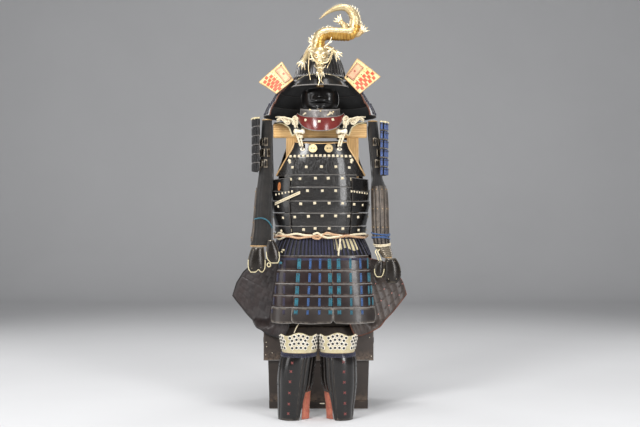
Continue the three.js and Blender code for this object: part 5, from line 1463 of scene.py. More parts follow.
g = Geo()
s = np.linspace(-1, 1, 60)
R = []
for v in np.linspace(0, 1, 9):
    x, y = ring(HX, 138, 92 + 5 * v, 112 + 6 * v + 1.5 * math.sin(v * PI), 2, 58 * s)
    R.append(stack(x, y, lerp(1244, 1205, v) + 10 * s * s))
R = np.array(R)
shell(g, R, 2.0, 0)
tube(g, R[0], 1.6, 8, 1)
for x, z in ((-42.8, 1243.6), (2.5, 1240.3), (53.5, 1236.2)):
    p, X, Y, Z = near(R, x, z, 0.5)
    place(g, dome(4.2, 3.4, 3, 12), p, X, Y, Z, 2)
for x, z, tilt in ((-64.6, 1228, 0.6), (47.3, 1232.1, -0.5), (37, 1225.5, 0.5)):
    p, X, Y, Z = near(R, x, z, 0.8)
    c, q = math.cos(tilt), math.sin(tilt)
    place(g, pillow(8, 6, 20, 7, 5, 3.0), p, X * c + Y * q, Y * c - X * q, Z, 3)
g.make("throat_guard_upper_grained", [M["throat"], M["edge"], M["brass"], M["cream"]], "grained_iron", "throat_guard_upper")

g = Geo()
s = np.linspace(-1, 1, 84)
w = np.abs(s)
R = []
for v in np.linspace(0, 1, 14):
    x, y = ring(HX + 2, 138, 104 + 4 * v, 124 + 12 * v * (1 - s * s) + 2 * math.sin(v * PI), 2, 66 * s)
    R.append(stack(x, y, lerp(1212 + 24 * w * w, 1156 + 74 * w**2.2, v)))
R = np.array(R)
shell(g, R, 2.2, 0)
tube(g, R[-1], 2.0, 8, 1)
tube(g, R[0], 1.7, 8, 1)
for x, z in ((-60.1, 1204.1), (-4.1, 1193.4), (53.5, 1202.5)):
    p, X, Y, Z = near(R, x, z, 0.5)
    place(g, KNOT, p, X, Y, Z, 2, 0.95)
g.make("throat_guard_lower_lacquered", [M["red"], M["edge"], M["cream"]], "red_lacquer", "throat_guard_lower")


# ------------------------------------------------------------------ shoulder yokes, loops and toggles

STRAP = [(262, 1138, 72, 128), (232, 1184, 70, 160), (196, 1207, 70, 192), (158, 1209, 70, 196), (126, 1204, 74, 176), (104, 1180, 78, 132), (92, 1152, 80, 118)]
st = np.array(STRAP, float)
for side, s in (("left", -1), ("right", 1)):
    t = np.linspace(0, 6, 70)
    c = spline([(r[0], r[1], r[2]) for r in STRAP], 70)
    wide = np.interp(np.linspace(0, 1, 70), np.linspace(0, 1, 7), st[:, 3])
    wide[1:-1] = (wide[:-2] + 2 * wide[1:-1] + wide[2:]) / 4
    u = np.linspace(0, 1, 34)
    X = c[:, 2][:, None] + (wide - c[:, 2])[:, None] * u[None, :]
    ripple = 1.6 * np.sin(u[None, :] * 7 + t[:, None] * 1.3) * np.sin(t[:, None] * 1.9) * u[None, :]
    Z3 = c[:, 1][:, None] - 4 * u[None, :] ** 2 - 3.5 * smooth(0.8, 1.0, u)[None, :] + ripple
    Y3 = c[:, 0][:, None] + 0 * u[None, :]
    R = stack(s * X + 2, Y3, Z3)
    n = normals(R)
    if n[35, 17][2] < 0:
        R = R[:, ::-1]
        n = normals(R)
    g = Geo()
    shell(g, R, 3.0, 0)
    outer = R[:, 0] if abs(R[35, 0, 0]) > abs(R[35, -1, 0]) else R[:, -1]
    inner_ = R[:, -1] if abs(R[35, 0, 0]) > abs(R[35, -1, 0]) else R[:, 0]
    front = R[-1] if abs(R[-1, 0, 0]) < abs(R[-1, -1, 0]) else R[-1, ::-1]
    o = g.make("shoulder_yoke_%s_cloth" % side, [M["cloth_soft"]], "black_cloth", "shoulder_strap_" + side)
    g = Geo()
    rim = np.concatenate([outer, front[::-1][1:]]) - [0, 0, 1.4]
    tube(g, rim, 2.9, 8, 0)
    tube(g, inner_ - [0, 0, 1.4], 2.4, 8, 0)
    # doubled cream loops lying on the front of the yoke
    for k in range(2):
        off = 9.0 * k
        pts = [(188 - off, 100, 1221), (172 - off * 0.6, 92, 1217 + off * 0.3), (154, 86, 1203 + off), (141, 82, 1190 + off), (129 + off * 0.5, 82, 1193 + off * 0.7), (131 + off * 0.3, 88, 1208 + off * 0.2), (148, 95, 1219 - off * 0.1)]
        tube(g, spline([(s * x + 2, y, z) for x, y, z in pts], 60), 3.3, 10, 1, twist=70, lobes=3, amp=0.18)
    for k in range(3):  # bow at the neck
        pts = [(118, 84, 1212 - 5 * k), (106 - 4 * k, 76, 1222 - 7 * k), (94, 74, 1210 - 8 * k), (104, 72, 1196 - 6 * k), (116, 80, 1202 - 6 * k)]
        tube(g, spline([(s * x + 2, y, z) for x, y, z in pts], 34), 3.4, 10, 1, closed=True, twist=70, lobes=3, amp=0.18)
    # bone toggle with a waist, and the dark cord bound under it

    def waist(q):
        w = 0.72 + 0.28 * np.abs(q[..., 0]) ** 1.2
        return np.stack([q[..., 0], q[..., 1] * w, q[..., 2] * w], -1)
    blob(g, (s * 88 + 2, 56, 1157), (24, 9, 10), 2, push=waist, ni=26, nj=14)
    for dx in (-15, 15):
        blob(g, (s * 88 + 2 + dx, 55, 1157), (9.5, 10, 11.5), 2, ni=16, nj=10)
    tube(g, spline([(s * 112 + 2, 66, 1172), (s * 98 + 2, 52, 1169), (s * 78 + 2, 50, 1170), (s * 66 + 2, 62, 1174)], 20), 2.0, 8, 3)
    for k in range(3):  # binding where the strands leave the toggle
        a = np.linspace(0, 2 * PI, 25)[:-1]
        tube(g, np.stack([s * 84 + 2 + 10 * np.cos(a), 52 + 7 * np.sin(a), 1139 - 4.2 * k + 0 * a], -1), 2.2, 8, 1, closed=True)
    g.make("shoulder_yoke_%s_trim" % side, [M["cream_piping"], M["cream"], M["bone"], M["darklace"]], "cream_cord")


# ------------------------------------------------------------------ skirt panels

SKIRT_RING = [(716, 181, 121, 2.25), (641, 211, 133, 2.9), (366, 243, 172, 3.4)]


def skirt(deg, z, out=0.0):
    deg, z = np.broadcast_arrays(np.asarray(deg, float), np.asarray(z, float))
    x, y = ring(lerp(3, 6, np.minimum(1, (716 - z) / 75)), 164, straight(SKIRT_RING, z, 1) + out, straight(SKIRT_RING, z, 2) + out,
                straight(SKIRT_RING, z, 3), deg)
    return stack(x, y, z)


ANGLES = np.linspace(-88, 88, 353)


def skirt_deg(x, z):
    return float(np.interp(x, skirt(ANGLES, np.full(353, float(z)))[:, 0], ANGLES))


# suspension lacing between the cuirass and the panels
g = Geo()
N = 64
# dark sheet behind the laces: painted shade in the gap
back = skirt(np.linspace(-180, 180, 121)[None, :-1], np.linspace(717, 645, 6)[:, None], -1.2)
shell(g, back, 1.0, 1, loop=True)
for k in range(N):
    a = -180 + 360 * (k + 0.5) / N
    z = np.linspace(718, 643, 9)
    p = skirt(a, z, 0.4 + 1.2 * np.sin(np.linspace(0, 1, 9) * PI))
    q = skirt(a, z, 1.4 + 1.2 * np.sin(np.linspace(0, 1, 9) * PI))
    ribbon(g, p, unit(q - p), 8.6 if k % 4 else 6.6, 2.0, 0)
a, b = skirt_deg(58, 690), skirt_deg(150, 690)
D, Z3 = np.meshgrid(np.linspace(a, b, 30), np.linspace(710, 668, 12))
shell(g, skirt(D, Z3 - 6 * np.sin((D - a) / (b - a) * PI * 3) * (Z3 < 690), 0.2 + 0.7 * np.sin(D * 1.7)), 0.9, 2)
for x, z, w in ((-150, 664, 18), (-156, 656, 12)):
    p = skirt(skirt_deg(x, z), z, 3.2)
    q = skirt(skirt_deg(x, z), z, 4.2)
    Z = unit(q - p)
    X = unit(np.cross([0, 0, 1.0], Z))
    place(g, pillow(8, 6, w, 8, 4.5, 3.0), p, X, np.cross(Z, X), Z, 2)
g.make("suspension_lacing", [M["navy"], M["hole"], M["cream_cloth"]], "navy_lacing", "tasset_lacing")

# waist cord: a belt strip with two twisted cords over it
g = Geo()
deg = np.linspace(0, 360, 241)[:-1]
rows = [torso(deg, np.full(240, 723.0 + dz), 9.5 + 0.8 * (1 - (dz / 9) ** 2)) for dz in (9, 5, 0, -5, -9)]
shell(g, np.array(rows), 2.2, 1, loop=True)
for phase, dz, r, up, m in ((0.0, 3.8, 4.6, 0.0, 2), (2.6, -3.8, 4.8, 3.0, 0)):
    wander = 4.0 * np.sin(np.radians(deg) * 7 + phase) + 1.0 * np.sin(np.radians(deg) * 16 + phase)
    path = torso(deg, 723 + dz + wander, 15.0 + up * np.clip(np.cos(np.radians(deg) * 7 + 1.3), 0, 1) ** 2)
    tube(g, path, r, 10, m, closed=True, twist=70, lobes=3, amp=0.24)
front = lambda x, z, out: np.array([x, float(torso_y(x, 723.0, 0)) - out, z])
loop = spline([front(-150, 729, 18), front(-172, 735, 22), front(-184, 722, 20), front(-172, 708, 23), front(-152, 716, 22), front(-138, 724, 20)], 40)
tube(g, loop, 4.0, 10, 2, twist=70, lobes=3, amp=0.22)
cross = [[(-28, 730), (-10, 735), (12, 722), (34, 716), (58, 719), (80, 722)], [(-30, 716), (-6, 712), (14, 728), (30, 736), (54, 730), (78, 726)]]
for c, m in zip(cross, (2, 0)):
    tube(g, spline([front(x, z, 21) for x, z in c], 40), 4.4, 10, m, twist=70, lobes=3, amp=0.22)
for k in range(5):  # tuft at the far end of the cord
    p = front(176, 716, 20)
    flame(g, p + [0, 0, 10], (0.25 + 0.1 * k, -0.2, -0.5 - 0.2 * k), (0.1, 0, -0.4), 24, 3.4, 3, 0.7, 6)
g.make("waist_cord_twisted", [M["tan"], M["belt"], M["cream"], M["cloth_soft"]], "cream_cord", "waist_cord")

PANELS = [((-37.4, 15.6), (-36, 15.6), 0), ((15.6, 64), (15.6, 67), 0), ((100, 140), (100, 140), 0), ((140, 180), (140, 180), 0),
          ((180, 220), (180, 220), 0), ((220, 260), (220, 260), 0), ((-62, -30), (-62, -30), 9)]
TASSET_Z = [641, 581, 527, 478, 430, 366]
# lace columns: x at the top and bottom lames, width, lace, first and last lame
COLUMNS = {
    0: [(-86, -102, 15, "teal", 0, 4), (-38, -53, 9.5, "blue", 0, 4), (1, -4, 9.5, "blue", 0, 4), (45, 42, 15, "teal", 0, 4)],
    1: [(76, 80, 15, "teal", 0, 4), (125, 130, 9.5, "teal", 0, 4), (166, 176, 9.5, "blue", 0, 4), (198, 206, 9.5, "teal", 0, 3), (212, 222, 11, "teal", 1, 3)],
    6: [(-194, -200, 10, "navy", 0, 4), (-147, -150, 10, "purple", 0, 4)],
}
FINE = pillow(5, 4, 9, 3.4, 3.0, 3.0)
for p in range(7):
    low, high, tuck = PANELS[p]
    g = Geo()

    def lame(k, u, w, p=p, low=low, high=high, tuck=tuck):
        """Panel p, lame k: u across, w down the lame."""
        z0, z1 = TASSET_Z[k] - (1.2 if k else 0), TASSET_Z[k + 1] + (1.2 if k < 4 else 0)
        z = lerp(z0, z1, w)
        v = (641 - z) / 275
        a, b = lerp(high[0], low[0], v) + 0.55, lerp(high[1], low[1], v) - 0.55
        s = 2 * u - 1
        out = lerp(4.6, 0.0, w) + 4 * (1 - s * s) * v - tuck + 1.0 * np.sin(w * PI)
        z = z - 0.8 * np.sin(u * 9 + k) * w + (11 * np.clip((np.abs(s) - 0.86) / 0.14, 0, 1) ** 1.6 * smooth(0.6, 1.0, w) if k == 4 else 0)
        z = z - (1.6 * (1 - s * s) * w if k == 4 else 0)
        return skirt(lerp(a, b, u), z, out)
    for k in range(5):
        U, W = np.meshgrid(np.linspace(0, 1, 31), np.linspace(0, 1, 7))
        R = lame(k, U, W)
        # inner faces in the darker lacquer: painted shade
        n = shell(g, R, 2.6, 1 if k == 4 else 0, 3)
        tube(g, R[0] - n[0] * 0.9, 1.9, 8, 2)  # pale top edge: wear with a painted highlight
        if k == 4:
            rim = np.concatenate([R[:, 0], R[-1, 1:], R[::-1, -1][1:]])
            tube(g, rim - np.concatenate([n[:, 0], n[-1, 1:], n[::-1, -1][1:]]) * 0.8, 1.5, 8, 2)
        cols = COLUMNS.get(p)
        if cols is None:
            cols = [(None, u, 15 if q % 3 == 0 else 9.5, "teal" if q % 3 == 0 else "blue", 0, 4) for q, u in enumerate((0.12, 0.38, 0.62, 0.88))]
        for x0, x1, wide, kind, k0, k1 in cols:
            if not k0 <= k <= k1:
                continue
            stops = np.linspace(0.2, 0.9, 8) if k < 4 else np.linspace(0.14, 0.42, 8)
            if x0 is None:
                us = np.full(8, x1)
            else:
                line = lame(k, np.linspace(0, 1, 90)[None, :] * np.ones((8, 1)), stops[:, None] * np.ones((1, 90)))
                us = np.array([np.interp(lerp(x0, x1, (641 - line[j, 0, 2]) / 275), line[j, :, 0], np.linspace(0, 1, 90)) for j in range(8)])
            if us.min() < 0.02 or us.max() > 0.98:
                us = np.clip(us, 0.035, 0.965)
            path = lame(k, us, stops)
            e = 0.01
            across = lame(k, np.clip(us + e, 0, 1), stops) - lame(k, np.clip(us - e, 0, 1), stops)
            down = np.gradient(path, axis=0)
            nn = unit(np.cross(unit(across), unit(down)))
            nn = np.where((nn @ np.array([0, 1.0, 0]))[:, None] > 0, -nn, nn) if p in (0, 1, 6) else np.where(((nn[:, 0] * (path[:, 0] - 6) + nn[:, 1] * (path[:, 1] - 164)))[:, None] < 0, -nn, nn)
            mat = {"teal": 4, "blue": 5, "navy": 6, "purple": 7}[kind]
            ribbon(g, path, nn, wide, 2.2, mat, strands=2 if wide > 12 else 1, lift=0.2)
            for j in (1, 6):
                X = unit(across[j])
                place(g, FINE, path[j] + nn[j] * 1.6, X, np.cross(nn[j], X), nn[j], 8, 1.0 if wide > 12 else 0.75)
    # fine cross lacing under the top edge
    for u in np.linspace(0.03, 0.97, 40):
        a, b = lame(0, u, 0.16), lame(0, u + 0.012, 0.32)
        c = lame(0, min(u + 0.02, 1), 0.16) - lame(0, u - 0.02, 0.16)
        nn = unit(np.cross(c, b - a))
        out = np.array([a[0] - 6, a[1] - 164, 0])
        nn = nn if nn @ out > 0 else -nn
        ribbon(g, np.array([a, (a + b) / 2, b]), np.array([nn] * 3), 4.0, 1.2, 6, strands=1, lift=0.1)
    g.make("tasset_%d_laced" % (p + 1), [M["maroon_tint"], M["dim"], M["edge"], M["inside"], M["teal"], M["blue"], M["navy"], M["purple"], M["darklace"]],
           "brown_lacquer", "tasset_%d" % (p + 1))


# ------------------------------------------------------------------ thigh guards

THIGH = np.array([(6, 666, 110, 666, 160, 666), (14, 638, 130, 637, 182, 635), (34, 590, 166, 592, 282, 606), (64, 510, 196, 506, 326, 568),
                  (102, 410, 220, 404, 356, 520), (150, 304, 240, 290, 373, 466)], float)
COVER = {"left": (174, 215, 21), "right": (199, 232, 22)}


def thigh_y(x, z, side):
    hi, lo, tuck = COVER[side]
    a, b, n = straight(SKIRT_RING, z, 1) - tuck, straight(SKIRT_RING, z, 2) - tuck, straight(SKIRT_RING, z, 3)
    limit = np.minimum(lerp(hi, lo, np.clip((641 - z) / 275, 0, 1)), 0.96 * a)
    q = np.sign(x) * np.minimum(np.abs(x), limit)
    y = 164 - b * np.maximum(0.02, 1 - np.minimum(0.995, np.abs(q - 6) / a) ** n) ** (1 / n)
    y = y + 0.42 * np.maximum(0, np.abs(x) - limit)
    return lerp(np.minimum(y, 46 + np.maximum(0, np.abs(x) - 236) * 0.5), y, smooth(345, 372, z))


def thigh(side, u, v):
    """u from the inner edge to the outer edge, v from the waist to the hem."""
    j = np.clip(v, 0, 1) * 5
    cols = [np.interp(j, np.arange(6), THIGH[:, c]) for c in range(6)]
    mix = lambda a, m, b: (1 - u) ** 2 * a + 2 * u * (1 - u) * m + u * u * b
    f = np.maximum(0, j - 1) / 4
    s, sx, sz = (-1, 0, 0) if side == "left" else (1, -6, 8)
    x, z = s * mix(cols[0], cols[2], cols[4]) + sx * f, mix(cols[1], cols[3], cols[5]) + sz * f
    return stack(x, thigh_y(x, z, side), z)


for side, s in (("left", -1), ("right", 1)):
    nj, ni = 100, 76
    U, V = np.meshgrid(np.linspace(0, 1, ni), np.linspace(0, 1, nj))
    if s < 0:
        U = U[:, ::-1]
    R = thigh(side, U, V)
    for _ in range(3):  # ease the facets between the rows
        R[1:-1] = (R[:-2] + 2 * R[1:-1] + R[2:]) / 4
    n = normals(R)
    rg = np.random.RandomState(5 if s < 0 else 6)
    # hang: long soft troughs from the waist, uneven in width and depth
    sag = np.zeros_like(U)
    for c, wd, dp, ph in ((0.22, 0.10, 3.2, 0.3), (0.47, 0.13, 2.2, 1.2), (0.70, 0.08, 3.6, 2.0), (0.88, 0.07, 2.4, 0.7)):
        sag -= dp * np.exp(-(((U - c - 0.05 * np.sin(3 * V + ph)) / wd) ** 2)) * (0.35 + 0.65 * V)
    if side == "left":
        rows_, cols_ = 15, 8
        r = V * rows_
        k = np.floor(r)
        cx = (U * cols_ + 0.5 * (k % 2)) % 1 - 0.5
        cy = r % 1 - 0.5
        cell = np.clip(1 - np.abs(cx * 2) ** 5, 0, 1) * np.clip(1 - np.abs(cy * 2) ** 5, 0, 1)
        h = 2.0 * cell * (0.75 + 0.25 * (1 - np.abs(cy)))
    else:
        cols_, rows_ = 11, 11
        cx = (U * cols_) % 1 - 0.5
        cy = (V * rows_) % 1 - 0.5
        h = 2.6 * np.clip(1 - np.abs(cx * 2) ** 2.6, 0, 1) * (1 - 0.75 * np.exp(-((np.abs(cy) - 0.5) / 0.05) ** 2))
    edge = np.minimum(np.minimum(U, 1 - U) * 240, np.minimum(V, 1 - V) * 400)
    h = h * smooth(3, 9, edge)
    R = R + n * (h + sag * smooth(0.02, 0.2, V) * 0.8 - 1.0)[..., None]
    g = Geo()
    n = shell(g, R, 2.4, 0, 1)
    rim = np.concatenate([R[:, 0], R[-1, 1:], R[::-1, -1][1:]])
    tube(g, rim - np.concatenate([n[:, 0], n[-1, 1:], n[::-1, -1][1:]]) * 1.0, 2.6, 8, 2)
    if side == "right":
        for a in range(cols_ + 1):
            for b in range(1, rows_):
                if (a + b) % 2:
                    continue
                i = min(ni - 2, max(1, int(round(a / cols_ * (ni - 1)))))
                j = int(round(b / rows_ * (nj - 1)))
                X = unit(R[j, i + 1] - R[j, i - 1])
                place(g, dome(2.7, 2.4, 2, 8), R[j, i] + n[j, i] * 0.2, X, np.cross(n[j, i], X), n[j, i], 3)
    else:
        q = spline([(-88, 42, 362), (-95, 36, 350), (-101, 36, 338), (-107, 38, 324)], 20)
        q[:, 1] = thigh_y(q[:, 0], q[:, 2], "left") - 5
        tube(g, q, 2.0, 8, 4, twist=80, lobes=3)
    o = g.make("thigh_guard_%s_hung" % side, [M["scale_l" if s < 0 else "scale_r"], M["cloth"], M["frame" if s > 0 else "cloth"], M["stud"], M["cream"]], "scaled_leather", "thigh_guard_" + side)

# waistband of the thigh guards, with its edge cord
g = Geo()
deg = np.linspace(-112, 112, 150)
rows = []
for z in np.linspace(702, 670, 7):
    x, y = ring(3, 163, 175 + 0.6 * np.sin(np.radians(deg) * 9), 106 + 0.6 * np.sin(np.radians(deg) * 9), 2.2, deg)
    rows.append(stack(x, y, np.full_like(deg, z)))
R = np.array(rows)
n = shell(g, R, 2.0, 0)
for q in (0, -1):
    tube(g, R[q] - n[q], 1.6, 6, 1)
o = g.make("thigh_guard_waistband", [M["cloth"], M["frame"]], "black_cloth", "thigh_guard_band")


# ------------------------------------------------------------------ armoured sleeves

SLEEVES = {
    "left": [(1212, -225, 165, 21, 44), (1150, -227, 165, 23, 48), (1060, -228, 160, 26, 47), (985, -230, 148, 31, 44), (900, -235, 128, 35, 42),
             (820, -238, 108, 37, 40), (745, -241, 90, 40, 37), (681, -246, 76, 45, 34)],
    "right": [(1206, 224, 165, 20, 42), (1140, 229, 165, 22, 46), (1060, 236, 160, 22, 44), (970, 243, 146, 22, 42), (925, 249, 136, 30, 41),
              (850, 252, 116, 33, 39), (760, 253, 94, 33, 36), (690, 258, 74, 30, 30), (634, 281, 62, 18, 20)],
}


def arm(side, deg, z, out=0.0):
    t = SLEEVES[side]
    deg, z, out = np.broadcast_arrays(np.asarray(deg, float), np.asarray(z, float), np.asarray(out, float))
    x, y = ring(interp(t, z, 1), interp(t, z, 2), interp(t, z, 3) + out, interp(t, z, 4) + out, 2, deg)
    return stack(x, y, z)


def along(fn, deg, z, out=0.0):
    """Point and directions on a ring surface."""
    p = fn(deg, z, out)
    X = unit(fn(deg + 1.0, z, out) - fn(deg - 1.0, z, out))
    Y = unit(fn(deg, z + 2.0, out) - fn(deg, z - 2.0, out))
    Z = unit(np.cross(X, Y))
    return p, X, np.cross(Z, X), Z


for side in ("left", "right"):
    t = SLEEVES[side]
    top, low = t[0][0], t[-1][0]
    nz, nd = 90, 90
    z = np.linspace(top, low, nz)[:, None]
    deg = (np.arange(nd) * 4 - 180.0)[None, :]
    v = (top - z) / (top - low)
    fold = np.zeros((nz, nd))
    folds = [(-150, 14, 3.0, 0.4), (-112, 10, 4.2, 1.1), (-74, 12, 3.2, 2.2), (-40, 9, 4.4, 0.2), (-12, 8, 3.4, 1.7), (18, 10, 4.0, 2.6), (52, 13, 3.0, 0.9), (96, 11, 3.8, 1.9), (140, 14, 3.2, 0.6)]
    for c, wd, dp, ph in folds:
        d = (deg - c - 9 * np.sin(4.2 * v + ph) + 180) % 360 - 180
        fold -= dp * np.exp(-((d / wd) ** 2)) * smooth(0.05, 0.4, v) * (0.7 + 0.3 * np.sin(7 * v + ph * 2))
    for c, wd, dp, ph in ((0.30, 0.016, 2.6, 0.4), (0.36, 0.02, 3.0, 1.8), (0.43, 0.018, 2.2, 3.2), (0.62, 0.02, 1.8, 5.0)):  # slack at the elbow
        fold -= dp * np.exp(-(((v - c - 0.012 * np.sin(np.radians(deg) * 2 + ph)) / wd) ** 2)) * (0.5 + 0.5 * np.cos(np.radians(deg) + ph))
    if side == "right":
        fold = fold * np.where(v > 0.55, 0.35, 1.0)
    R = arm(side, deg, z + 0 * deg, fold * 0.8 - 0.2)
    g = Geo()
    n = shell(g, R, 2.2, 0, 0, loop=True)
    for row in (0, -1):
        tube(g, R[row] - n[row] * 1.0, 2.4, 8, 1, closed=True)
    h = Geo()
    # seam down the inner side, with its lacing cord
    seam = 90 if side == "left" else -90
    zz = np.linspace(top - 20, low + 20, 60)
    path = arm(side, seam + 3 * np.sin(zz / 23), zz, 1.2)
    tube(h, path, 1.7, 7, 3, twist=90, lobes=3)
    # splints: narrow plates side by side over the forearm, chained to each other
    z0, z1 = (936, 664) if side == "right" else (925, 700)
    where = (-78, -48, -18, 12, 42, 72, 102) if side == "right" else (-150, -122, -94, -66, 152)
    for c in where:
        zs = np.linspace(z0 - 6 * abs(math.sin(c)), z1, 44)
        half = np.interp(zs, [low, 760, 925], [9, 12.5, 13.5])
        s = np.linspace(-1, 1, 9)
        D = c + half[:, None] * s[None, :]
        e = np.minimum(np.arange(44), 43 - np.arange(44))[:, None] / 4.0
        lift = 1.2 + 3.0 * np.sqrt(np.clip(1 - s[None, :] ** 2 * 0.92, 0, 1)) * np.clip(e, 0.25, 1) ** 0.5
        S = arm(side, D, zs[:, None] + 0 * D, lift)
        shell(h, S, 1.0, 2)
        for q in (0.04, 0.36, 0.66, 0.96):
            p, X, Y, Z = along(lambda a, b, o: arm(side, a, b, o), c, lerp(z0 - 8, z1 + 8, q), 4.4)
            place(h, dome(2.0, 1.6, 2, 8), p, X, Y, Z, 1)
    # plates over the upper arm
    for r, zc in enumerate((1118, 1072, 1026)):
        for c in ((-112, -84, -56, -28, 0) if side == "left" else (112, 84, 56, 28, 0)):
            p, X, Y, Z = along(lambda a, b, o: arm(side, a, b, o), c + 14 * (r % 2), zc, 0.4)
            place(h, pillow(9, 9, 16, 34, 3.4, 4.0), p, X, Y, Z, 4)
    if side == "left":  # teal tie at the elbow
        q = spline([(-252, 94, 793), (-241, 78, 797), (-222, 74, 787), (-205, 82, 768), (-196, 92, 756)], 36)
        for i in range(len(q)):
            w = math.atan2(q[i, 0] + 238, -(q[i, 1] - 104))
            q[i] = arm(side, math.degrees(w), q[i, 2], 3.2)
        tube(h, q, 2.8, 8, 5, twist=60, lobes=3)
    else:  # blue cord and cream loops at the wrist
        for zc, m, r in ((733, 6, 2.8), (722, 6, 2.8), (712, 6, 2.6), (690, 7, 2.6), (684, 7, 2.4)):
            d = np.arange(48) * 7.5
            q = arm(side, d, zc + 5 * np.sin(np.radians(d) + zc), 5.4)
            tube(h, q, r, 8, m, closed=True, twist=60, lobes=3)
        for k in range(7):  # wrapped cuff
            zc = 684 - k * 7.4
            d = np.arange(40) * 9
            tube(h, arm(side, d, zc + 2 * np.sin(np.radians(d)), 1.4), 4.3, 8, 4, closed=True)
    o = g.make("sleeve_%s_cloth" % side, [M["sleeve_cloth" if side == "left" else "cloth"], M["piping"]], "black_cloth", "sleeve_" + side)
    h.make("sleeve_%s_plates" % side, [M["cloth"], M["piping"], M["splint"], M["darklace"], M["bronze"], M["teal"], M["blue"], M["cream"]], "bronzed_iron")

HANDS = {
    "hand_plate_left": (36, 14, [(677, -257, 46), (650, -260, 60), (615, -262, 70), (588, -262, 66), (574, -262, 48)]),
    "thumb_plate_left": (30, 9, [(706, -203, 22), (680, -199, 42), (650, -195, 52), (626, -192, 46), (612, -188, 26)]),
    "hand_plate_right": (40, 14, [(630, 292, 42), (608, 297, 58), (575, 300, 66), (545, 300, 58), (530, 299, 36)]),
    "thumb_plate_right": (34, 8, [(620, 250, 20), (604, 247, 34), (584, 245, 38), (566, 244, 32), (555, 244, 18)]),
}
for name, (yy, dm, rows_) in HANDS.items():
    z = np.linspace(rows_[0][0], rows_[-1][0], 34)[:, None]
    s = np.linspace(-1, 1, 30)[None, :]
    w = interp(rows_, z, 2) / 2
    v = (rows_[0][0] - z) / (rows_[0][0] - rows_[-1][0])
    end = np.sqrt(np.clip(1 - (2 * v - 1) ** 2, 0, 1)) * 0.5 + 0.5
    X3 = interp(rows_, z, 1) + s * w
    Y3 = yy - dm * (1 - s * s) * end 
    notch = 11 * np.exp(-(((s - 0.3) / 0.3) ** 2)) * v**4 if name == "hand_plate_left" else 0 * s
    R = stack(X3, Y3, z + 0 * s + notch)
    g = Geo()
    n = shell(g, R, 1.8, 0, 2)
    rim = np.concatenate([R[0], R[1:, -1], R[-1, ::-1][1:], R[::-1, 0][1:-1]])
    # dark back rims, and the right plate's trim, in the darker lacquer: painted shade
    trim = 1 if name != "hand_plate_right" else 2
    m = len(rim)
    low = [i for i in range(m) if rim[i][2] < lerp(rows_[0][0], rows_[-1][0], 0.5)]
    tube(g, rim[low[0]:low[-1] + 1] + [0, 1.0, 0], 2.3, 8, trim, twist=70, lobes=3, amp=0.12)
    tube(g, rim + [0, 1.4, 0], 1.5, 8, 2, closed=True)
    if name.startswith("hand"):
        for q in (-0.55, 0.55):
            i = int((q + 1) / 2 * 29)
            for j in (4, 28):
                place(g, dome(2.2, 1.6, 2, 8), R[j, i], np.array([1.0, 0, 0]), np.array([0, 0, 1.0]), np.array([0, -1.0, 0]), 0)
    xm, zm = rows_[2][1], rows_[2][0]
    if name == "hand_plate_left":  # loop to the thumb plate
        a = np.linspace(0, 2 * PI, 25)[:-1]
        tube(g, np.stack([-211 + 7 * np.cos(a), 26 + 2 * np.sin(a * 2), 604 + 8 * np.sin(a)], -1), 2.2, 8, 1, closed=True, twist=60, lobes=3)
    if name == "thumb_plate_left":
        place(g, pillow(7, 5, 12, 10, 4, 3.0), np.array([-158.0 - 4, 26, 612]), np.array([1.0, 0, 0]), np.array([0, 0, 1.0]), np.array([0, -1.0, 0]), 4)
    if name == "thumb_plate_right":
        for dx in (-4, 6):
            tube(g, spline([(246 + dx, 26, 622), (240 + dx, 20, 640), (232 + dx, 22, 658), (240 + dx, 28, 668)], 20), 2.2, 8, 1, twist=60, lobes=3)
    g.make(name + "_domed", [M["bronze"], M["cream_piping"], M["inside"], M["brass"], M["teal"]], "bronzed_iron", name)


# ------------------------------------------------------------------ shoulder guards

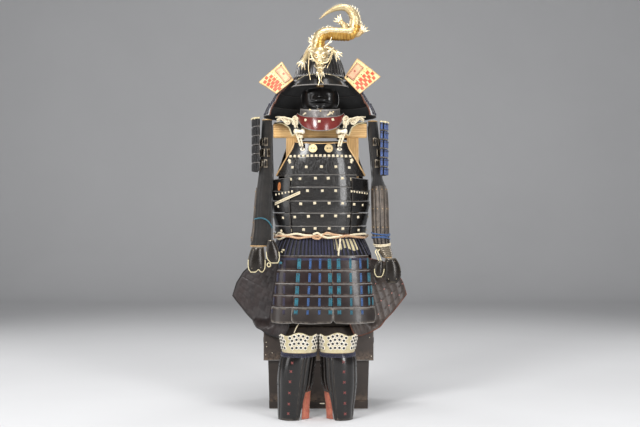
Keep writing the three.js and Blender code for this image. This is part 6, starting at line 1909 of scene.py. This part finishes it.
for side, cx, rx, lo, hi, drop in (("left", -234, 50, -150, -13, 0), ("right", 232, 52, 14, 150, -16)):
    g = Geo()

    def sode(a, z, out=0.0):
        a, z, out = np.broadcast_arrays(np.asarray(a, float), np.asarray(z, float), np.asarray(out, float))
        x, y = ring(cx, 165, rx + out, 80 + out, 2, a)
        return stack(x, y, z + drop)
    rg = np.random.RandomState(9)
    for k in range(6):
        a = np.linspace(lo, hi, 60 if side == "left" else 36)[None, :]
        w = np.linspace(0, 1, 6)[:, None]
        z = 1220 - (k + w * 0.97) * 38
        ruff = 2.2 * np.sin(a * 0.9 + k) * w * w if side == "left" else 0
        R = sode(a, z, lerp(4.2, 0.2, w) + 0.9 * np.sin(w * PI) + ruff)
        # inner face in the darker lacquer: painted shade
        n = shell(g, R, 2.0, 0, 1)
        tube(g, R[0] - n[0], 1.7, 8, 2)
        lace = np.linspace(lo + 5, hi - 5, 9 if side == "right" else 15)
        for c in lace:
            zz = np.linspace(1220 - (k + 0.16) * 38, 1220 - (k + 0.92) * 38, 6)
            p, q = sode(c, zz, 4.4), sode(c, zz, 5.4)
            ribbon(g, p, unit(q - p), 9.5 if side == "right" else 6.5, 2.6, 3 if side == "right" else 4, strands=2, lift=-0.2)
            if side == "right":
                P0, X, Y, Z = along(sode, c, float(zz[1]), 6.2)
                place(g, FINE, P0, X, Y, Z, 4, 1.1)
    # top plate and its bound edge
    a = np.linspace(lo, hi, 70)[None, :]
    w = np.linspace(0, 1, 5)[:, None]
    R = sode(a, 1220 - w * 6.4, 5.4 + 0.6 * np.sin(w * PI))
    n = shell(g, R, 2.4, 5)
    for c in (lo + 22, (lo + hi) / 2, hi - 22):  # cord loops on the top plate
        p, X, Y, Z = along(sode, c, 1216, 6.0)
        place(g, KNOT, p, X, Y, Z, 5, 0.9)
    g.make("shoulder_guard_%s_laced" % side, [M["black"], M["inside"], M["edge"], M["bright"], M["darklace"], M["cream_piping"]], "navy_lacing", "shoulder_guard_" + side)


# ------------------------------------------------------------------ shin guards, inner leathers and knee guards

SHINS = {
    "left": ([(268, -82, 66, 72), (225, -90, 70, 74), (170, -97, 70, 72), (110, -102, 65, 66), (50, -107, 59, 60), (0, -110, 56, 58)], 1),
    "right": ([(268, 69, 66, 72), (225, 73, 70, 74), (170, 75, 70, 72), (110, 79, 63, 66), (50, 82, 52, 60), (0, 84, 46, 58)], -1),
}
for side, (rows_, inner) in SHINS.items():
    def shin(deg, z, out=0.0, rows_=rows_):
        deg, z, out = np.broadcast_arrays(np.asarray(deg, float), np.asarray(z, float), np.asarray(out, float))
        x, y = ring(interp(rows_, z, 1), -126, interp(rows_, z, 2) + out, interp(rows_, z, 3) + out, 2.1, deg)
        return stack(x, y, z)
    g = Geo()
    # cloth backing under the splints
    deg = np.linspace(-102, 102, 44)[None, :]
    foot = 112 * smooth(26, 42, deg * inner)
    v = np.linspace(0, 1, 16)[:, None]
    R = shin(deg, lerp(267, foot + 1, v), -0.8)
    n = shell(g, R, 1.4, 1, 1)
    # splints: edges as plan angles counted towards the inner side, and lower end
    parts = [(-101, -81, 0), (-79, -58, 0), (-56, 17, 0), (19, 27, 0), (30, 49, 112), (51, 74, 112), (76, 100, 112)]
    for a, b, end in parts:
        c0, c1 = (a, b) if inner > 0 else (-b, -a)
        s = np.linspace(-1, 1, 26 if b - a > 40 else 10)
        vv = np.linspace(0, 1, 28)[:, None]
        D = lerp(c0, c1, (s + 1) / 2)[None, :]
        lowz = end + (5 * s**2)[None, :] * 0.6
        Z = lerp(264.5, lowz, vv)
        tip = np.clip(np.minimum(vv, 1 - vv) * 14, 0, 1) ** 0.5
        S = shin(D, Z, 0.4 + (3.2 if b - a > 40 else 2.4) * np.clip(1 - np.abs(s)[None, :] ** 3.2, 0, 1) * tip)
        m = shell(g, S, 1.2, 0)
        if b - a <= 40:
            for e in (0, -1):
                tube(g, S[2:-2, e], 0.8, 6, 7)
    for q in (0, -1):
        path = R[q] + n[q] * 0.6
        tube(g, path, 1.8, 8, 7 if q else 3)
    # laced band along the top: navy blocks between pale lines
    for c in np.linspace(-98, 98, 42):
        p, X, Y, Z = along(shin, c, 258.5, 2.6)
        place(g, pillow(6, 5, 4.4, 10.5, 3.2, 4.0), p, X, Y, Z, 4)
    for zc in (265.6, 251.8):
        d = np.linspace(-101, 101, 90)
        tube(g, shin(d, np.full(90, zc), 3.0), 1.5, 7, 4)
    # red cross ties over the joints of the splints
    heights = (230, 196, 156, 111, 67, 29) if side == "left" else (234, 195, 154, 112, 70, 28)
    for zc in heights:
        for c in (-15 * inner,):
            p, X, Y, Z = along(shin, c, zc, 3.9)
            for sp in (-1, 1):
                k = math.sqrt(0.5)
                place(g, pillow(9, 4, 13, 3.2, 3.4, 3.0), p, (X + Y * sp) * k, (Y - X * sp) * k, Z, 5)
    # ties round the calf
    for zc in (214, 140):
        d = np.linspace(-101, -70, 20)
        for sgn in (1, -1):
            tube(g, shin(d * sgn, zc + 3 * np.sin(d / 5), 2.6), 2.0, 8, 6, twist=60, lobes=3)
    g.make("shin_guard_%s_splinted" % side, [M["shin"], M["cloth"], M["edge"], M["piping"], M["navy"], M["redlace"], M["darklace"], M["shin_edge"]], "shin_lacquer", "shin_guard_" + side)

    g = Geo()
    a, b = (44, 100) if inner > 0 else (-100, -44)
    D = np.linspace(a, b, 32)[None, :]
    v = np.linspace(0, 1, 50)[:, None]
    puff = 0.6 * np.sin(D * 0.22 + 3 * v) * np.sin(v * PI) + 0.5 * np.sin(v * 19 + D * 0.06)
    R = shin(D, lerp(130, 3.4, v), -3.2 + puff)
    R[..., 0] += inner * 15 * (1 - R[..., 2] / 130) * smooth(44, 74, D * inner)
    n = shell(g, R, 2.4, 0)
    rim = np.concatenate([R[:, 0], R[-1, 1:], R[::-1, -1][1:]])
    tube(g, rim - np.concatenate([n[:, 0], n[-1, 1:], n[::-1, -1][1:]]) * 1.2, 1.8, 6, 0)
    for k in range(18):  # stitching along the lower edge
        for e in (4, -5):
            j = 3 + int(k * 2.5)
            X = unit(R[j, e] - R[j - 1, e])
            place(g, pillow(5, 3, 3.6, 1.0, 1.0, 3.0), R[j, e] + n[j, e] * 0.2, X, np.cross(n[j, e], X), n[j, e], 1)
    o = g.make("shin_leather_%s_facing" % side, [M["terracotta"], M["piping"]], "tan_leather", "shin_leather_" + side)

    # quilted knee guard with hexagonal plates
    def knee(s, v, out=0.0):
        s, v, out = np.broadcast_arrays(np.asarray(s, float), np.asarray(v, float), np.asarray(out, float))
        top = 340 - 22 * s * s + 6 * np.cos(s * 9)
        base = 3.6 + (1 - v) * (2 + 8 * np.maximum(0, -s * inner))
        p = shin(104 * s, np.full_like(s, 268.0), base + out)
        p[..., 2] = lerp(top, 270.5, v)
        return p
    g = Geo()
    S, V = np.meshgrid(np.linspace(-1, 1, 100), np.linspace(0, 1, 36))
    centres = []
    for r in range(4):
        for c in range(-8, 9):
            sc = (c + 0.5 * (r % 2)) * 0.126
            if abs(sc) > 0.93 or abs(abs(sc * inner + 0.0) - 0.36) < 0.06:
                continue
            centres.append((sc, 0.13 + 0.205 * r))
    quilt = np.zeros_like(S)
    for sc, vc in centres:
        d = np.sqrt(((S - sc) / 0.052) ** 2 + ((V - vc) / 0.105) ** 2)
        quilt += 1.9 * np.exp(-(np.clip(d - 0.55, 0, None) ** 2) / 0.12)
    quilt = np.minimum(quilt, 2.3) - 1.0 * np.exp(-((np.abs(S * inner) - 0.36) / 0.02) ** 2)
    lump = 0.7 * np.sin(S * 31 + V * 5) * np.sin(V * 9 + S * 7)
    edge = smooth(0, 0.05, np.minimum(V, 1 - V)) * smooth(0, 0.03, 1 - np.abs(S))
    R = knee(S, V, (quilt + lump) * edge * 0.8 - 0.4)
    n = shell(g, R, 3.0, 0)
    rim = np.concatenate([R[0], R[1:, -1], R[-1, ::-1][1:], R[::-1, 0][1:-1]])
    nr = np.concatenate([n[0], n[1:, -1], n[-1, ::-1][1:], n[::-1, 0][1:-1]])
    tube(g, rim - nr * 1.4, 2.4, 8, 0, closed=True)
    h = Geo()
    hexa = prism([(8.6 * math.cos(t), 8.6 * math.sin(t)) for t in np.linspace(0, 2 * PI, 7)[:-1] + PI / 6], 1.5, 0.5)
    eye = prism([(5.3 * math.cos(t), 4.8 * math.sin(t)) for t in np.linspace(0, 2 * PI, 13)[:-1]], 1.0, 0.2)
    for sc, vc in centres:
        i, j = int((sc + 1) / 2 * 99), int(vc * 35)
        X = unit(R[j, min(i + 1, 99)] - R[j, i - 1])
        Y = np.cross(n[j, i], X)
        place(h, hexa, R[j, i] + n[j, i] * 0.1, X, Y, n[j, i], 1)
        place(h, eye, R[j, i] + n[j, i] * 1.4, X, Y, n[j, i], 2)
    rg = np.random.RandomState(14)
    for k in range(90):  # frayed edge
        i = rg.randint(2, len(rim) - 2)
        d = unit(rim[i] - knee(np.array(0.0), np.array(0.5)) * [0, 0, 1] - rim[i] * [1, 1, 0] + nr[i] * 0.5)
        flame(h, rim[i] - nr[i], unit(nr[i] * 0.4 + np.array([rg.uniform(-0.4, 0.4), 0, 1.0 if rim[i][2] > 300 else -0.4])), (rg.uniform(-0.3, 0.3), 0, 0.1), rg.uniform(3, 6.5), 0.55, 0, 0.7, 5)
    o = g.make("knee_guard_%s_quilted" % side, [M["cream_cloth"]], "cream_cloth", "knee_guard_" + side)
    h.make("knee_guard_%s_plates" % side, [M["cream_cloth"], M["hexplate"], M["hole"]], "cream_cloth")


# ------------------------------------------------------------------ floor, light and close

floor_mat = Mat("studio_floor", rough=0.75)
floor_mat.colour(floor_mat.mix(floor_mat.noise(floor_mat.coord("Object"), 1.2, 3), rgb(204, 204, 205), rgb(212, 212, 213)))
floor_mat.bump(floor_mat.noise(floor_mat.coord("Object"), 300, 3), 0.0002, 0.2)
sweep = [(-9.0, 0.0), (5.4, 0.0)] + [(5.4 + 1.6 * math.sin(q), 1.6 - 1.6 * math.cos(q)) for q in np.linspace(0, PI / 2, 20)[1:]] + [(7.0, 8.0)]
fv = [(x, y, z) for y, z in sweep for x in (-11.0, 11.0)]
ff = [(2 * i, 2 * i + 1, 2 * i + 3, 2 * i + 2) for i in range(len(sweep) - 1)]
me = bpy.data.meshes.new("floor")
me.from_pydata(fv, [], ff)
me.materials.append(floor_mat.m)
me.polygons.foreach_set("use_smooth", np.full(len(ff), True))
floor = bpy.data.objects.new("floor", me)
bpy.context.scene.collection.objects.link(floor)

area_light("key", (-2.1, -3.4, 3.2), (0, 0, 0.9), 1.2, 150)
area_light("strip", (2.2, -3.2, 1.5), (0, 0, 1.0), 0.9, 105, 2.6)
area_light("fill", (-3.4, -1.6, 1.2), (0, 0, 0.8), 1.4, 32, 2.2)
area_light("top", (0.2, -0.6, 4.2), (0, 0, 0.9), 1.6, 75)
area_light("back_left", (-2.6, 2.2, 2.6), (0, 0, 1.0), 1.2, 36, 2.0)
area_light("back_right", (2.6, 2.2, 2.6), (0, 0, 1.0), 1.2, 36, 2.0)
world = bpy.data.worlds.new("studio")
world.use_nodes = True
world.node_tree.nodes["Background"].inputs[0].default_value = (0.62, 0.63, 0.65, 1)
world.node_tree.nodes["Background"].inputs[1].default_value = 0.3
bpy.context.scene.world = world
bpy.context.scene.view_settings.view_transform = "Standard"
